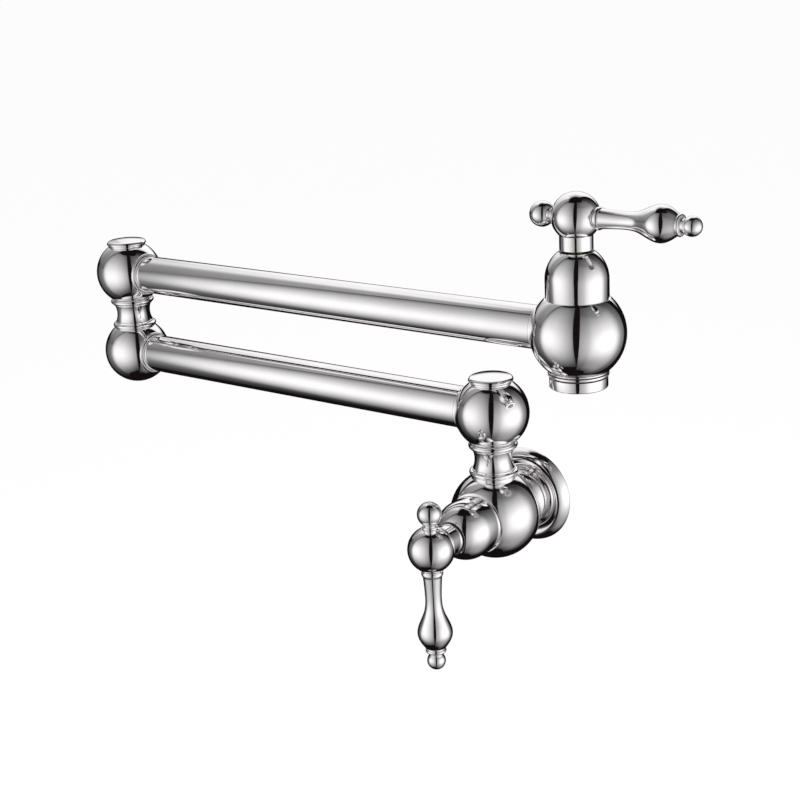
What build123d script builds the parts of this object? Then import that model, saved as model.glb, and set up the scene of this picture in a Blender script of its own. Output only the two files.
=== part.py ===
"""Wall mounted pot filler with two swivelling arms and two quarter-turn lever valves.

Millimetres, +Z up. The wall is the plane Y = 0 and the tap stands out of it towards -Y.
The origin is the centre of the inlet on the wall. The arms are folded along the wall:
the lower arm runs to -X, and the upper arm comes back over it to +X.
"""

import os
from math import cos, radians, sin, sqrt

from build123d import *

# ---------------------------------------------------------------- clearances
SLIP = 0.05  # radial gap of screwed, brazed and pushed-in fits
RUN = 0.05  # radial gap of a turning shaft in its bore
FLOAT = 0.1  # end play of a turning spindle
SHADOW = 0.3  # gap between a turning cover and the still part beside it
EDGE = 0.4  # broken edge on turned parts
CUT = 1.0  # how far a cutting shape runs past the face it cuts

# ---------------------------------------------------------------- arms
TUBE_R = 11.0
TUBE_WALL = 1.2
LOWER_ARM = 263.5  # wall swivel axis to elbow axis
UPPER_ARM = 316.0  # elbow axis to spout axis
SOCKET_DEPTH = 6.8  # how deep a tube sits in a ball, from the ball's pole
LIP_WIDTH = 1.4  # ring of the ball casting round the tube
LIP_LENGTH = 1.3
LIP_ROUND = 0.6
WATERWAY_R = 5.0

# ---------------------------------------------------------------- balls
SWIVEL_BALL_R = 19.5
BODY_BALL_R = 23.8  # the wall valve's ball and the spout's ball
NECK_SEAT_R = 12.0  # flat turned on a ball where a neck meets it
VALVE_TO_WALL = 33.2  # swivel axis to wall

# ---------------------------------------------------------------- swivel neck and stem
NECK_HEIGHT = 17.6
NECK_BEAD_R = 12.9
NECK_WAIST_R = 9.9
NECK_BEAD = 2.9  # height of a bead
NECK_ROOT_R = 11.7  # where a bead starts
NECK_STEP_R = 11.4  # small step between a bead and the waist
NECK_STEP = 0.7
NECK_COVE_R = 11.0  # where the hollow of the waist starts
THRUST_WASHER = 0.5
STEM_R = 7.0
STEM_BORE_R = 4.2
STEM_BORE_END = 4.0  # top of the blind bore above the ball's centre
STEM_TAIL_R = 9.0  # threaded tail, screwed into the ball below
STEM_TAIL = 8.5
PORT_R = 2.6
CHAMBER_R = 9.0
CHAMBER_HALF = 5.4
RING_GROOVE = 2.4  # height of an O-ring groove
RING_SECTION_R = 0.8
RING_GROOVE_DEPTH = 1.6
STEM_HEADROOM = 1.25  # left between the stem's nose and the cap's plug
TOP_WASHER = 0.55
CLIP = 1.0
CLIP_DEPTH = 0.9
CLIP_WIDTH = 2.45
CLIP_GAP = 70.0  # degrees
STEM_NOSE = 0.8

# ---------------------------------------------------------------- ball caps
CAP_R = 11.7
CAP_ROOT_R = 10.8
CAP_LEDGE = 0.2  # the ball's flat outside the cap's root
CAP_FLARE = 0.7  # height where the cap's side starts to flare
CAP_FLARE_R = 0.2  # how far it stands out there
CAP_RIM = 1.65  # height of the widest place
CAP_EDGE = 1.8  # radius of the round above the rim
CAP_SLOPE = 12.5  # degrees of slope where the round runs into the crown
CAP_PLUG_R = 8.95
CAP_PLUG = 1.4

# ---------------------------------------------------------------- wall valve body
STUB_R = 13.0
STUB_RECESS = 1.0  # the stub's mouth stands this far off the wall
INLET_THREAD_R = 9.32  # G 1/2 core radius
INLET_THREAD = 13.0
INLET_WASHER = 2.0
INLET_WASHER_R = 9.6
INLET_WASHER_IN_R = 5.6
BEAD_R = 15.8
BEAD_ROUND = 6.0
BEAD_FROM_WALL = 9.0
SEAT_BOSS = 1.5  # upstand under the wall swivel's neck

# ---------------------------------------------------------------- wall flange
FLANGE_R = 26.0
FLANGE_SEAT = 5.6  # where the body's bead clamps it
FLANGE_RIM = 1.2  # height where the rounded rim starts
FLANGE_BULGE = 0.53  # how far the rim's round stands out from its chord
FLANGE_GROOVE_R = 22.6
FLANGE_GROOVE_HEIGHT = 6.4
FLANGE_CREST = 6.7
FLANGE_MID_R = 19.3  # middle of the hollow face inside the crest
FLANGE_MID = 6.5
FLANGE_INNER_R = 16.4
FLANGE_BORE_GAP = 0.15
FLANGE_FACE = 0.5  # the rim stands this far off the wall, on its gasket
FLANGE_RECESS = 3.0
FLANGE_RECESS_BEVEL = 1.2
FLANGE_QUIRK = 0.5  # narrow groove between rim and crest
GASKET = 1.6
GASKET_LEDGE = 1.2  # metal left inside the gasket
GASKET_IN_R = 19.8
GASKET_OUT_R = 24.6

# ---------------------------------------------------------------- quarter-turn cartridge
# Heights are measured from the shoulder that the hexagon sits on, minus is into the body.
NECK_THREAD_R = 13.8  # body neck that carries the bonnet
NECK_THREAD = 4.5
CARTRIDGE_THREAD_R = 10.4
CARTRIDGE_THREAD = 9.0
BARREL_R = 9.2
SEAT_WALL = 5.0  # metal between the outlet's thread and the seat of the barrel
BARREL_WALL = 1.4
SEAT_GAP = 1.0  # the seal stands this far out of the barrel
SEAL = 2.8
SEAL_IN_R = 5.2
DISC = 3.2
DISC_OPENING = 70.0  # degrees of each of the two openings in a disc
DISC_OPENING_IN_R = 1.9
DISC_OPENING_OUT_R = 6.4
KEY_WIDTH = 2.6
KEY_DEPTH = 1.4
KEY_REACH = 6.7
WINDOW = 6.0
WINDOW_WIDTH = 9.0
WINDOW_GAP = 0.6
DRIVER = 2.2
HEX_FLATS = 21.0
HEX_HEIGHT = 4.5
GLAND_R = 6.4
GLAND = 6.5
SPINDLE_R = 3.95
SPINDLE_BELOW_CENTRE = 4.1  # end of the spindle below the hub's centre
SPINDLE_SEAL_R = 0.55
SPINDLE_GROOVE = 1.4
SPINDLE_GROOVE_DEPTH = 1.15
STOP_HEIGHT = 2.4
STOP_LUG = 40.0  # degrees
STOP_TRAVEL = 90.0
STOP_SPARE = 2.0
STOP_LUG_R = 5.9
BODY_CHAMBER_R = 12.2
CHAMBER_CONE = 1.5
CHAMBER_ABOVE_END = 7.0  # bore left round the barrel's inner end
SEAT_HOLE_R = 5.0

# ---------------------------------------------------------------- bonnet
BONNET_R = 15.6
BONNET_LEDGE = 0.5  # body seat outside the bonnet
BONNET_SIDE = 9.5
BONNET_DOME_R = 16.7
BONNET_WALL = 1.8

# ---------------------------------------------------------------- handles
HUB_R = 12.0
HUB_COLLAR_R = 8.2
HUB_COLLAR = 7.3
HUB_FLAT = 0.8  # depth of the flats under lever and finial
SHANK_R = 2.9
SHANK = 5.4
LEVER_ROOT_R = 4.9
LEVER_BEAD_R = 5.6
LEVER_BEAD = 3.2
LEVER_WAIST_R = 4.25
LEVER_WAIST = 24.5  # distances from the hub's centre
LEVER_SWELL_R = 5.15
LEVER_SWELL = 34.0
LEVER_BULB_R = 9.0
LEVER_BULB = 46.2
LEVER_END = 54.4
LEVER_END_R = 4.7
LEVER_RING_R = 5.35
LEVER_RING = 1.9
LEVER_TIP_NECK_R = 3.6
LEVER_TIP_R = 4.8
LEVER_TIP = 61.2
FINIAL_R = 6.3
FINIAL = 18.8
FINIAL_BEAD_R = 4.1
FINIAL_BEAD = 1.6
FINIAL_NECK_R = 3.0
GRUB_R = 2.0
GRUB_HEX = 2.0
GRUB_HEX_DEPTH = 2.0
GRUB_RISE = 4.0  # height above the collar's edge

# ---------------------------------------------------------------- spout outlet
OUTLET_RING_R = 15.1
OUTLET_RING = 2.6
OUTLET_THREAD_R = 12.0
OUTLET_THREAD = 7.0
AERATOR_R = 14.5
AERATOR_GROOVE_R = 14.0
AERATOR_GROOVE = 0.5
AERATOR = 6.0
AERATOR_WALL = 1.4
AERATOR_LIP = 1.0
AERATOR_THREAD = 5.2
AERATOR_WASHER = 1.6
AERATOR_WASHER_IN_R = 8.6
HONEYCOMB_FLATS = 2.6
HONEYCOMB_RIB = 0.6
HONEYCOMB_ROWS = 5


# ---------------------------------------------------------------- small helpers
def turned(start, *steps):
    """Solid turned about Z. Points are (radius, height); a pair of points is an arc."""
    edges = []
    here = start
    for step in steps:
        if isinstance(step[0], tuple):
            through, end = step
            edges.append(ThreePointArc(flat(here), flat(through), flat(end)))
        else:
            end = step
            edges.append(Line(flat(here), flat(end)))
        here = end
    edges.append(Line(flat(here), flat(start)))
    return revolve(make_face(edges), Axis.Z)


def flat(point):
    radius, height = point
    return (radius, 0, height)


def rod(radius, low, high):
    """Round bar on Z from one height to another."""
    return Pos(0, 0, (low + high) / 2) * Cylinder(radius, high - low)


def tube(outer, inner, low, high):
    return rod(outer, low, high) - rod(inner, low - CUT, high + CUT)


def sector(outer, inner, angle, low, high, middle=0.0):
    """Piece of a ring, its middle at the given angle from +X."""
    half = radians(angle / 2)
    turn = radians(middle)
    corners = [
        (inner * cos(turn + side * half), inner * sin(turn + side * half))
        for side in (-1, 1)
    ]
    ends = [
        (outer * cos(turn + side * half), outer * sin(turn + side * half))
        for side in (-1, 1)
    ]
    outline = [
        Line(corners[0], ends[0]),
        ThreePointArc(ends[0], (outer * cos(turn), outer * sin(turn)), ends[1]),
        Line(ends[1], corners[1]),
        ThreePointArc(corners[1], (inner * cos(turn), inner * sin(turn)), corners[0]),
    ]
    return Pos(0, 0, low) * extrude(make_face(outline), high - low)


def height_on_ball(ball_r, radius):
    """Height above a ball's centre where the ball has this radius."""
    return sqrt(ball_r**2 - radius**2)


def circles_meet(centre, radius, ball_r):
    """Outer point where a circle's outline meets a ball's, the ball's centre at the origin."""
    reach = sqrt(centre[0] ** 2 + centre[1] ** 2)
    along = (ball_r**2 - radius**2 + reach**2) / (2 * reach)
    aside = height_on_ball(ball_r, along)
    toward = (centre[0] / reach, centre[1] / reach)
    return (along * toward[0] - aside * toward[1], along * toward[1] + aside * toward[0])


def point_on_arc(centre, radius, angle):
    return (
        centre[0] + radius * cos(radians(angle)),
        centre[1] + radius * sin(radians(angle)),
    )


ALONG_X = Plane((0, 0, 0), x_dir=(0, 0, -1), z_dir=(1, 0, 0))
ALONG_MINUS_X = Plane((0, 0, 0), x_dir=(0, 0, 1), z_dir=(-1, 0, 0))
ALONG_Y = Plane((0, 0, 0), x_dir=(1, 0, 0), z_dir=(0, 1, 0))


# ---------------------------------------------------------------- heights worked out once
swivel_flat = height_on_ball(SWIVEL_BALL_R, NECK_SEAT_R)
neck_top = -swivel_flat - THRUST_WASHER
neck_bottom = neck_top - NECK_HEIGHT
cap_seat = height_on_ball(SWIVEL_BALL_R, CAP_ROOT_R + CAP_LEDGE)
stem_nose = cap_seat - CAP_PLUG - STEM_HEADROOM
clip_groove_low = stem_nose - STEM_NOSE - CLIP - 2 * SLIP
bearing_top = clip_groove_low - SLIP - TOP_WASHER
valve_boss = height_on_ball(BODY_BALL_R, NECK_SEAT_R) + SEAT_BOSS
swivel_height = valve_boss - neck_bottom
arm_spacing = swivel_flat - neck_bottom

outlet_flat = -height_on_ball(BODY_BALL_R, OUTLET_RING_R)
outlet_end = outlet_flat - OUTLET_RING
bonnet_seat = height_on_ball(BODY_BALL_R, BONNET_R + BONNET_LEDGE)
shoulder = bonnet_seat + NECK_THREAD
valve_seat = outlet_end + OUTLET_THREAD + SEAT_WALL
barrel_low = valve_seat + SEAT_GAP
chamber_low = barrel_low + CHAMBER_ABOVE_END
chamber_high = shoulder - CARTRIDGE_THREAD - CHAMBER_CONE
bonnet_side_top = bonnet_seat + BONNET_SIDE
dome_centre_r = BONNET_R - BONNET_DOME_R
bonnet_top = bonnet_side_top + sqrt(BONNET_DOME_R**2 - (HUB_COLLAR_R - dome_centre_r) ** 2)
collar_low = bonnet_top + SHADOW
hub_height = collar_low + HUB_COLLAR + height_on_ball(HUB_R, HUB_COLLAR_R)
hub_flat = HUB_R - HUB_FLAT
spindle_top = hub_height - SPINDLE_BELOW_CENTRE

spout_x = UPPER_ARM - LOWER_ARM
upper_height = swivel_height + arm_spacing

# ---------------------------------------------------------------- places of the sub-assemblies
at_wall = Plane((0, 0, 0), x_dir=(0, 0, -1), z_dir=(0, -1, 0))
at_valve = Plane((0, -VALVE_TO_WALL, 0), x_dir=(0, 0, -1), z_dir=(0, -1, 0))
at_wall_swivel = Plane((0, -VALVE_TO_WALL, swivel_height))
at_elbow_low = Plane((-LOWER_ARM, -VALVE_TO_WALL, swivel_height))
at_elbow_high = Plane((-LOWER_ARM, -VALVE_TO_WALL, upper_height))
at_spout = Plane((spout_x, -VALVE_TO_WALL, upper_height))


# ---------------------------------------------------------------- arms and balls
def tube_lip(ball_r):
    """Short ring on the +X side of a ball that frames the tube's socket."""
    lip_r = TUBE_R + LIP_WIDTH
    root = height_on_ball(ball_r, lip_r)
    end = root + LIP_LENGTH
    corner = point_on_arc((lip_r - LIP_ROUND, end - LIP_ROUND), LIP_ROUND, 45)
    ring = turned(
        (TUBE_R, root - LIP_WIDTH),
        (lip_r, root - LIP_WIDTH),
        (lip_r, end - LIP_ROUND),
        (corner, (lip_r - LIP_ROUND, end)),
        (TUBE_R, end),
    )
    return ALONG_X * ring


def tube_socket(ball_r):
    """Bore for the tube on the +X side of a ball, and the waterway behind it."""
    bottom = ball_r - SOCKET_DEPTH
    bore = rod(TUBE_R + SLIP, bottom, ball_r + LIP_LENGTH)
    waterway = rod(WATERWAY_R, 0, bottom)
    return ALONG_X * (bore + waterway)


def swivel_ball():
    """Turning ball, tube to +X: bearing bore, water chamber and a counterbore for the cap."""
    shell = turned(
        (STEM_R + RUN, -swivel_flat),
        (NECK_SEAT_R, -swivel_flat),
        ((SWIVEL_BALL_R, 0), (height_on_ball(SWIVEL_BALL_R, cap_seat), cap_seat)),
        (CAP_PLUG_R + SLIP, cap_seat),
        (CAP_PLUG_R + SLIP, bearing_top),
        (STEM_R + RUN, bearing_top),
        (STEM_R + RUN, CHAMBER_HALF),
        (CHAMBER_R, CHAMBER_HALF),
        (CHAMBER_R, -CHAMBER_HALF),
        (STEM_R + RUN, -CHAMBER_HALF),
    )
    return shell + tube_lip(SWIVEL_BALL_R) - tube_socket(SWIVEL_BALL_R)


def elbow_base_ball():
    """Lower ball of the elbow, tube to +X: closed below, threaded on top for the stem."""
    thread_low = swivel_flat - STEM_TAIL - SLIP
    ball = turned(
        (0, -SWIVEL_BALL_R),
        ((SWIVEL_BALL_R, 0), (NECK_SEAT_R, swivel_flat)),
        (STEM_TAIL_R + SLIP, swivel_flat),
        (STEM_TAIL_R + SLIP, thread_low),
        (0, thread_low),
    )
    waterway = rod(STEM_BORE_R, 0, thread_low + CUT)
    return ball + tube_lip(SWIVEL_BALL_R) - tube_socket(SWIVEL_BALL_R) - waterway


def ball_cap():
    """Cap on a swivel ball: rounded over its rim into a low crown, with a threaded plug."""
    rim = cap_seat + CAP_RIM
    round_centre = (CAP_R - CAP_EDGE, rim)
    round_end = point_on_arc(round_centre, CAP_EDGE, 90 - CAP_SLOPE)
    round_mid = point_on_arc(round_centre, CAP_EDGE, 45 - CAP_SLOPE / 2)
    crown_r = round_end[0] / sin(radians(CAP_SLOPE))
    crown_centre = (0, round_end[1] - height_on_ball(crown_r, round_end[0]))
    crown_mid = point_on_arc(crown_centre, crown_r, 90 - CAP_SLOPE / 2)
    return turned(
        (0, cap_seat - CAP_PLUG),
        (CAP_PLUG_R, cap_seat - CAP_PLUG),
        (CAP_PLUG_R, cap_seat),
        (CAP_ROOT_R, cap_seat),
        ((CAP_ROOT_R + CAP_FLARE_R, cap_seat + CAP_FLARE), (CAP_R, rim)),
        (round_mid, round_end),
        (crown_mid, (0, crown_centre[1] + crown_r)),
    )


def arm_tube(length, far_ball_r):
    """Tube from a swivel ball at the origin to a ball on +X."""
    start = SWIVEL_BALL_R - SOCKET_DEPTH
    end = length - far_ball_r + SOCKET_DEPTH
    return ALONG_X * tube(TUBE_R, TUBE_R - TUBE_WALL, start, end)


# ---------------------------------------------------------------- swivel
def swivel_neck_and_stem():
    """Turned neck, threaded tail below it and bearing stem above it, in one piece of brass."""
    bead_low = neck_bottom + NECK_BEAD
    bead_high = neck_top - NECK_BEAD
    waist = (bead_low + bead_high) / 2
    solid = turned(
        (0, neck_bottom - STEM_TAIL),
        (STEM_TAIL_R, neck_bottom - STEM_TAIL),
        (STEM_TAIL_R, neck_bottom),
        (NECK_ROOT_R, neck_bottom),
        ((NECK_BEAD_R, neck_bottom + NECK_BEAD / 2), (NECK_ROOT_R, bead_low)),
        (NECK_STEP_R, bead_low),
        (NECK_STEP_R, bead_low + NECK_STEP),
        (NECK_COVE_R, bead_low + NECK_STEP),
        ((NECK_WAIST_R, waist), (NECK_COVE_R, bead_high - NECK_STEP)),
        (NECK_STEP_R, bead_high - NECK_STEP),
        (NECK_STEP_R, bead_high),
        (NECK_ROOT_R, bead_high),
        ((NECK_BEAD_R, neck_top - NECK_BEAD / 2), (NECK_ROOT_R, neck_top)),
        (STEM_R, neck_top),
        (STEM_R, stem_nose),
        (0, stem_nose),
    )
    for ring in stem_ring_heights():
        low = ring - RING_GROOVE / 2
        solid -= tube(STEM_R + CUT, STEM_R - RING_GROOVE_DEPTH, low, low + RING_GROOVE)
    clip_groove_high = clip_groove_low + CLIP + 2 * SLIP
    solid -= tube(STEM_R + CUT, STEM_R - CLIP_DEPTH, clip_groove_low, clip_groove_high)
    solid -= rod(STEM_BORE_R, neck_bottom - STEM_TAIL - CUT, STEM_BORE_END)
    for across in (ALONG_X, ALONG_Y):
        solid -= across * Cylinder(PORT_R, 2 * (STEM_R + CUT))
    return solid


def stem_ring_heights():
    """The middle of the bearing below the chamber, and of the one above it."""
    return (-(CHAMBER_HALF + swivel_flat) / 2, (CHAMBER_HALF + bearing_top) / 2)


def o_ring(centre_r, section_r, height):
    return Pos(0, 0, height) * Torus(centre_r, section_r)


def stem_o_rings():
    centre_r = STEM_R - RING_GROOVE_DEPTH + RING_SECTION_R
    return [o_ring(centre_r, RING_SECTION_R, height) for height in stem_ring_heights()]


def thrust_washer():
    return tube(NECK_ROOT_R - SHADOW, STEM_R + RUN, neck_top, -swivel_flat)


def top_washer():
    return tube(CAP_PLUG_R - FLOAT, STEM_R + RUN, bearing_top, bearing_top + TOP_WASHER)


def retaining_ring():
    """Open spring ring in the groove near the stem's top."""
    low = clip_groove_low + SLIP
    inner = STEM_R - CLIP_DEPTH + SLIP
    ring = tube(inner + CLIP_WIDTH, inner, low, low + CLIP)
    gap = sector(inner + CLIP_WIDTH + CUT, CUT, CLIP_GAP, low - CUT, low + CLIP + CUT)
    return ring - gap


# ---------------------------------------------------------------- valve bodies
def body_cavity():
    """Turned cavity for a cartridge: seat, barrel bore, water chamber and thread."""
    return turned(
        (0, valve_seat),
        (BARREL_R + SLIP, valve_seat),
        (BARREL_R + SLIP, chamber_low),
        (BODY_CHAMBER_R, chamber_low + CHAMBER_CONE),
        (BODY_CHAMBER_R, chamber_high - CHAMBER_CONE),
        (CARTRIDGE_THREAD_R + SLIP, chamber_high),
        (CARTRIDGE_THREAD_R + SLIP, shoulder + CUT),
        (0, shoulder + CUT),
    )


def valve_body():
    """Wall valve casting, its axis on Z away from the wall, and its swivel seat to -X."""
    wall = -VALVE_TO_WALL
    bead = (BEAD_R - BEAD_ROUND, wall + BEAD_FROM_WALL)
    seat = wall + FLANGE_SEAT
    seat_r = bead[0] + height_on_ball(BEAD_ROUND, seat - bead[1])
    meet = circles_meet(bead, BEAD_ROUND, BODY_BALL_R)
    front_r = BONNET_R + BONNET_LEDGE
    casting = turned(
        (0, wall + STUB_RECESS),
        (STUB_R, wall + STUB_RECESS),
        (STUB_R, seat),
        (seat_r, seat),
        ((BEAD_R, bead[1]), meet),
        ((BODY_BALL_R, 0), (front_r, bonnet_seat)),
        (NECK_THREAD_R, bonnet_seat),
        (NECK_THREAD_R, shoulder),
        (0, shoulder),
    )
    thread_low = valve_boss - STEM_TAIL - SLIP
    boss = ALONG_MINUS_X * rod(NECK_SEAT_R, thread_low, valve_boss)
    above_boss = ALONG_MINUS_X * rod(NECK_SEAT_R, valve_boss, BODY_BALL_R + CUT)
    stem_thread = ALONG_MINUS_X * rod(STEM_TAIL_R + SLIP, thread_low, valve_boss + CUT)
    riser = ALONG_MINUS_X * rod(STEM_BORE_R, 0, valve_boss)
    thread_end = wall + STUB_RECESS + INLET_THREAD
    washer_end = thread_end + INLET_WASHER + SLIP
    inlet = rod(INLET_THREAD_R, wall, thread_end)
    washer_seat = rod(INLET_WASHER_R + SLIP, thread_end, washer_end)
    waterway = rod(SEAT_HOLE_R, thread_end, valve_seat + CUT)
    casting = casting + boss - above_boss - body_cavity() - stem_thread - riser
    return casting - inlet - washer_seat - waterway


def inlet_washer():
    low = -VALVE_TO_WALL + STUB_RECESS + INLET_THREAD + SLIP
    return tube(INLET_WASHER_R, INLET_WASHER_IN_R, low, low + INLET_WASHER)


def spout_body():
    """Spout casting with its valve axis on Z, the arm's socket to -X and the outlet below."""
    front_r = BONNET_R + BONNET_LEDGE
    casting = turned(
        (0, outlet_end),
        (OUTLET_RING_R - EDGE, outlet_end),
        (OUTLET_RING_R, outlet_end + EDGE),
        (OUTLET_RING_R, outlet_flat),
        ((BODY_BALL_R, 0), (front_r, bonnet_seat)),
        (NECK_THREAD_R, bonnet_seat),
        (NECK_THREAD_R, shoulder),
        (0, shoulder),
    )
    turn = Rot(0, 0, 180)
    casting = casting + turn * tube_lip(BODY_BALL_R)
    outlet_thread = rod(OUTLET_THREAD_R + SLIP, outlet_end - CUT, outlet_end + OUTLET_THREAD)
    waterway = rod(SEAT_HOLE_R, outlet_end, valve_seat + CUT)
    return casting - body_cavity() - turn * tube_socket(BODY_BALL_R) - outlet_thread - waterway


def bonnet():
    """Thin dome over the cartridge, screwed on the body's neck."""
    inner_side_r = BONNET_R - BONNET_WALL
    inner_dome_r = BONNET_DOME_R - BONNET_WALL
    hole_r = SPINDLE_R + SHADOW
    centre = (dome_centre_r, bonnet_side_top)
    outer_mid = point_on_arc(centre, BONNET_DOME_R, 28)
    inner_mid = point_on_arc(centre, inner_dome_r, 28)
    inner_top = bonnet_side_top + sqrt(inner_dome_r**2 - (GLAND_R - dome_centre_r) ** 2)
    return turned(
        (NECK_THREAD_R + SLIP, bonnet_seat),
        (BONNET_R, bonnet_seat),
        (BONNET_R, bonnet_side_top),
        (outer_mid, (HUB_COLLAR_R, bonnet_top)),
        (hole_r, bonnet_top),
        (hole_r, inner_top),
        (GLAND_R, inner_top),
        (inner_mid, (inner_side_r, bonnet_side_top)),
        (inner_side_r, shoulder),
        (NECK_THREAD_R + SLIP, shoulder),
    )


# ---------------------------------------------------------------- cartridge
seal_low = valve_seat
fixed_disc_low = seal_low + SEAL
turning_disc_low = fixed_disc_low + DISC
turning_disc_high = turning_disc_low + DISC
driver_low = turning_disc_high + WINDOW_GAP + WINDOW
driver_high = driver_low + DRIVER
barrel_bore_r = BARREL_R - BARREL_WALL
gland_high = shoulder + HEX_HEIGHT + GLAND
stop_low = gland_high - STOP_HEIGHT
spindle_seal_height = shoulder + HEX_HEIGHT / 2


def cartridge_housing(opening_turn):
    """Brass housing: windowed barrel, thread, hexagon, and gland with the quarter-turn stop.

    The opening turn is +1 for a spindle that opens anticlockwise and -1 for clockwise.
    """
    barrel = rod(BARREL_R, barrel_low, shoulder)
    thread = rod(CARTRIDGE_THREAD_R, shoulder - CARTRIDGE_THREAD, shoulder)
    hexagon = RegularPolygon(HEX_FLATS / 2, 6, major_radius=False)
    nut = Pos(0, 0, shoulder) * extrude(hexagon, HEX_HEIGHT)
    gland = rod(GLAND_R, shoulder + HEX_HEIGHT, gland_high)
    housing = barrel + thread + nut + gland
    housing -= rod(barrel_bore_r, barrel_low - CUT, driver_high + FLOAT)
    housing -= rod(SPINDLE_R + RUN, driver_high, gland_high + CUT)
    window_middle = turning_disc_high + WINDOW_GAP + WINDOW / 2
    housing -= Pos(0, 0, window_middle) * Box(2 * (BARREL_R + CUT), WINDOW_WIDTH, WINDOW)
    free = STOP_LUG + STOP_TRAVEL + 2 * STOP_SPARE
    middle = opening_turn * STOP_TRAVEL / 2
    slot = sector(GLAND_R + CUT, SPINDLE_R - CUT, free, stop_low, gland_high + CUT, middle)
    return housing - slot


def disc(low, closed):
    """Ceramic disc with two openings; the turning one lies a quarter turn off when closed."""
    first = STOP_TRAVEL if closed else 0
    opening_out = DISC_OPENING_OUT_R
    opening_in = DISC_OPENING_IN_R
    plate = rod(barrel_bore_r - 2 * RUN, low, low + DISC)
    for middle in (first, first + 180):
        plate -= sector(opening_out, opening_in, DISC_OPENING, low - CUT, low + DISC + CUT, middle)
    return plate


def turning_disc():
    """The upper disc, with a cross groove that takes the spindle's key."""
    groove = Pos(0, 0, turning_disc_high) * Box(2 * BARREL_R, KEY_WIDTH, 2 * KEY_DEPTH)
    return disc(turning_disc_low, closed=True) - groove


def seat_seal():
    return tube(barrel_bore_r - SLIP, SEAL_IN_R, seal_low, fixed_disc_low)


def spindle():
    """Spindle with the key for the disc, the driver plate, the seal groove and the stop lug."""
    shaft = rod(SPINDLE_R, driver_low, spindle_top)
    driver = rod(barrel_bore_r - 2 * RUN, driver_low, driver_high)
    key_height = driver_low - turning_disc_high + KEY_DEPTH - SLIP
    key_box = Box(2 * KEY_REACH, KEY_WIDTH - 2 * SLIP, key_height)
    key = Pos(0, 0, driver_low - key_height / 2) * key_box
    lug = sector(STOP_LUG_R, SPINDLE_R - CUT, STOP_LUG, stop_low + FLOAT, gland_high)
    low = spindle_seal_height - SPINDLE_GROOVE / 2
    groove_r = SPINDLE_R - SPINDLE_GROOVE_DEPTH
    groove = tube(SPINDLE_R + CUT, groove_r, low, low + SPINDLE_GROOVE)
    return shaft + driver + key + lug - groove


def spindle_seal():
    centre_r = SPINDLE_R - SPINDLE_GROOVE_DEPTH + SPINDLE_SEAL_R
    return o_ring(centre_r, SPINDLE_SEAL_R, spindle_seal_height)


# ---------------------------------------------------------------- handle
def handle_hub(screw_side):
    """Ball hub with its collar, the spindle's socket, and threads for lever and finial."""
    collar_meets = hub_height - height_on_ball(HUB_R, HUB_COLLAR_R)
    hub = turned(
        (0, collar_low),
        (HUB_COLLAR_R - EDGE, collar_low),
        (HUB_COLLAR_R, collar_low + EDGE),
        (HUB_COLLAR_R, collar_meets),
        ((HUB_R, hub_height), (0, hub_height + HUB_R)),
    )
    hub -= rod(SPINDLE_R + SLIP, collar_low - CUT, spindle_top + SLIP)
    for side in (ALONG_X, ALONG_MINUS_X):
        cross = rod(SHANK_R + SLIP, hub_flat - SHANK - SLIP, HUB_R)
        trim = rod(HUB_R, hub_flat, HUB_R + CUT)
        hub -= Pos(0, 0, hub_height) * (side * (cross + trim))
    hub -= grub_place(screw_side) * rod(GRUB_R + SLIP, SPINDLE_R, HUB_COLLAR_R + CUT)
    return hub


def grub_place(screw_side):
    direction = Rot(-90, 0, 0) if screw_side > 0 else Rot(90, 0, 0)
    return Pos(0, 0, collar_low + GRUB_RISE) * direction


def grub_screw(screw_side):
    end = HUB_COLLAR_R - EDGE
    screw = rod(GRUB_R, SPINDLE_R + SLIP, end)
    hexagon = extrude(RegularPolygon(GRUB_HEX / 2, 6, major_radius=False), GRUB_HEX_DEPTH + CUT)
    return grub_place(screw_side) * (screw - Pos(0, 0, end - GRUB_HEX_DEPTH) * hexagon)


def lever():
    """Baluster lever: bead at the root, slim waist, bulb, ring and a ball at its tip."""
    root = hub_flat
    bead_end = root + LEVER_BEAD
    ring_end = LEVER_END + LEVER_RING
    tip_meets = LEVER_TIP - height_on_ball(LEVER_TIP_R, LEVER_TIP_NECK_R)
    belly = Spline(
        flat((LEVER_ROOT_R, bead_end)),
        flat((LEVER_WAIST_R, LEVER_WAIST)),
        flat((LEVER_SWELL_R, LEVER_SWELL)),
        flat((LEVER_BULB_R, LEVER_BULB)),
        flat((LEVER_END_R, LEVER_END)),
    )
    edges = [
        Line(flat((0, root - SHANK)), flat((SHANK_R, root - SHANK))),
        Line(flat((SHANK_R, root - SHANK)), flat((SHANK_R, root))),
        Line(flat((SHANK_R, root)), flat((LEVER_ROOT_R, root))),
        ThreePointArc(
            flat((LEVER_ROOT_R, root)),
            flat((LEVER_BEAD_R, root + LEVER_BEAD / 2)),
            flat((LEVER_ROOT_R, bead_end)),
        ),
        belly,
        ThreePointArc(
            flat((LEVER_END_R, LEVER_END)),
            flat((LEVER_RING_R, LEVER_END + LEVER_RING / 2)),
            flat((LEVER_END_R, ring_end)),
        ),
        Line(flat((LEVER_END_R, ring_end)), flat((LEVER_TIP_NECK_R, ring_end))),
        Line(flat((LEVER_TIP_NECK_R, ring_end)), flat((LEVER_TIP_NECK_R, tip_meets))),
        ThreePointArc(
            flat((LEVER_TIP_NECK_R, tip_meets)),
            flat((LEVER_TIP_R, LEVER_TIP)),
            flat((0, LEVER_TIP + LEVER_TIP_R)),
        ),
        Line(flat((0, LEVER_TIP + LEVER_TIP_R)), flat((0, root - SHANK))),
    ]
    return Pos(0, 0, hub_height) * (ALONG_X * revolve(make_face(edges), Axis.Z))


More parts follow.
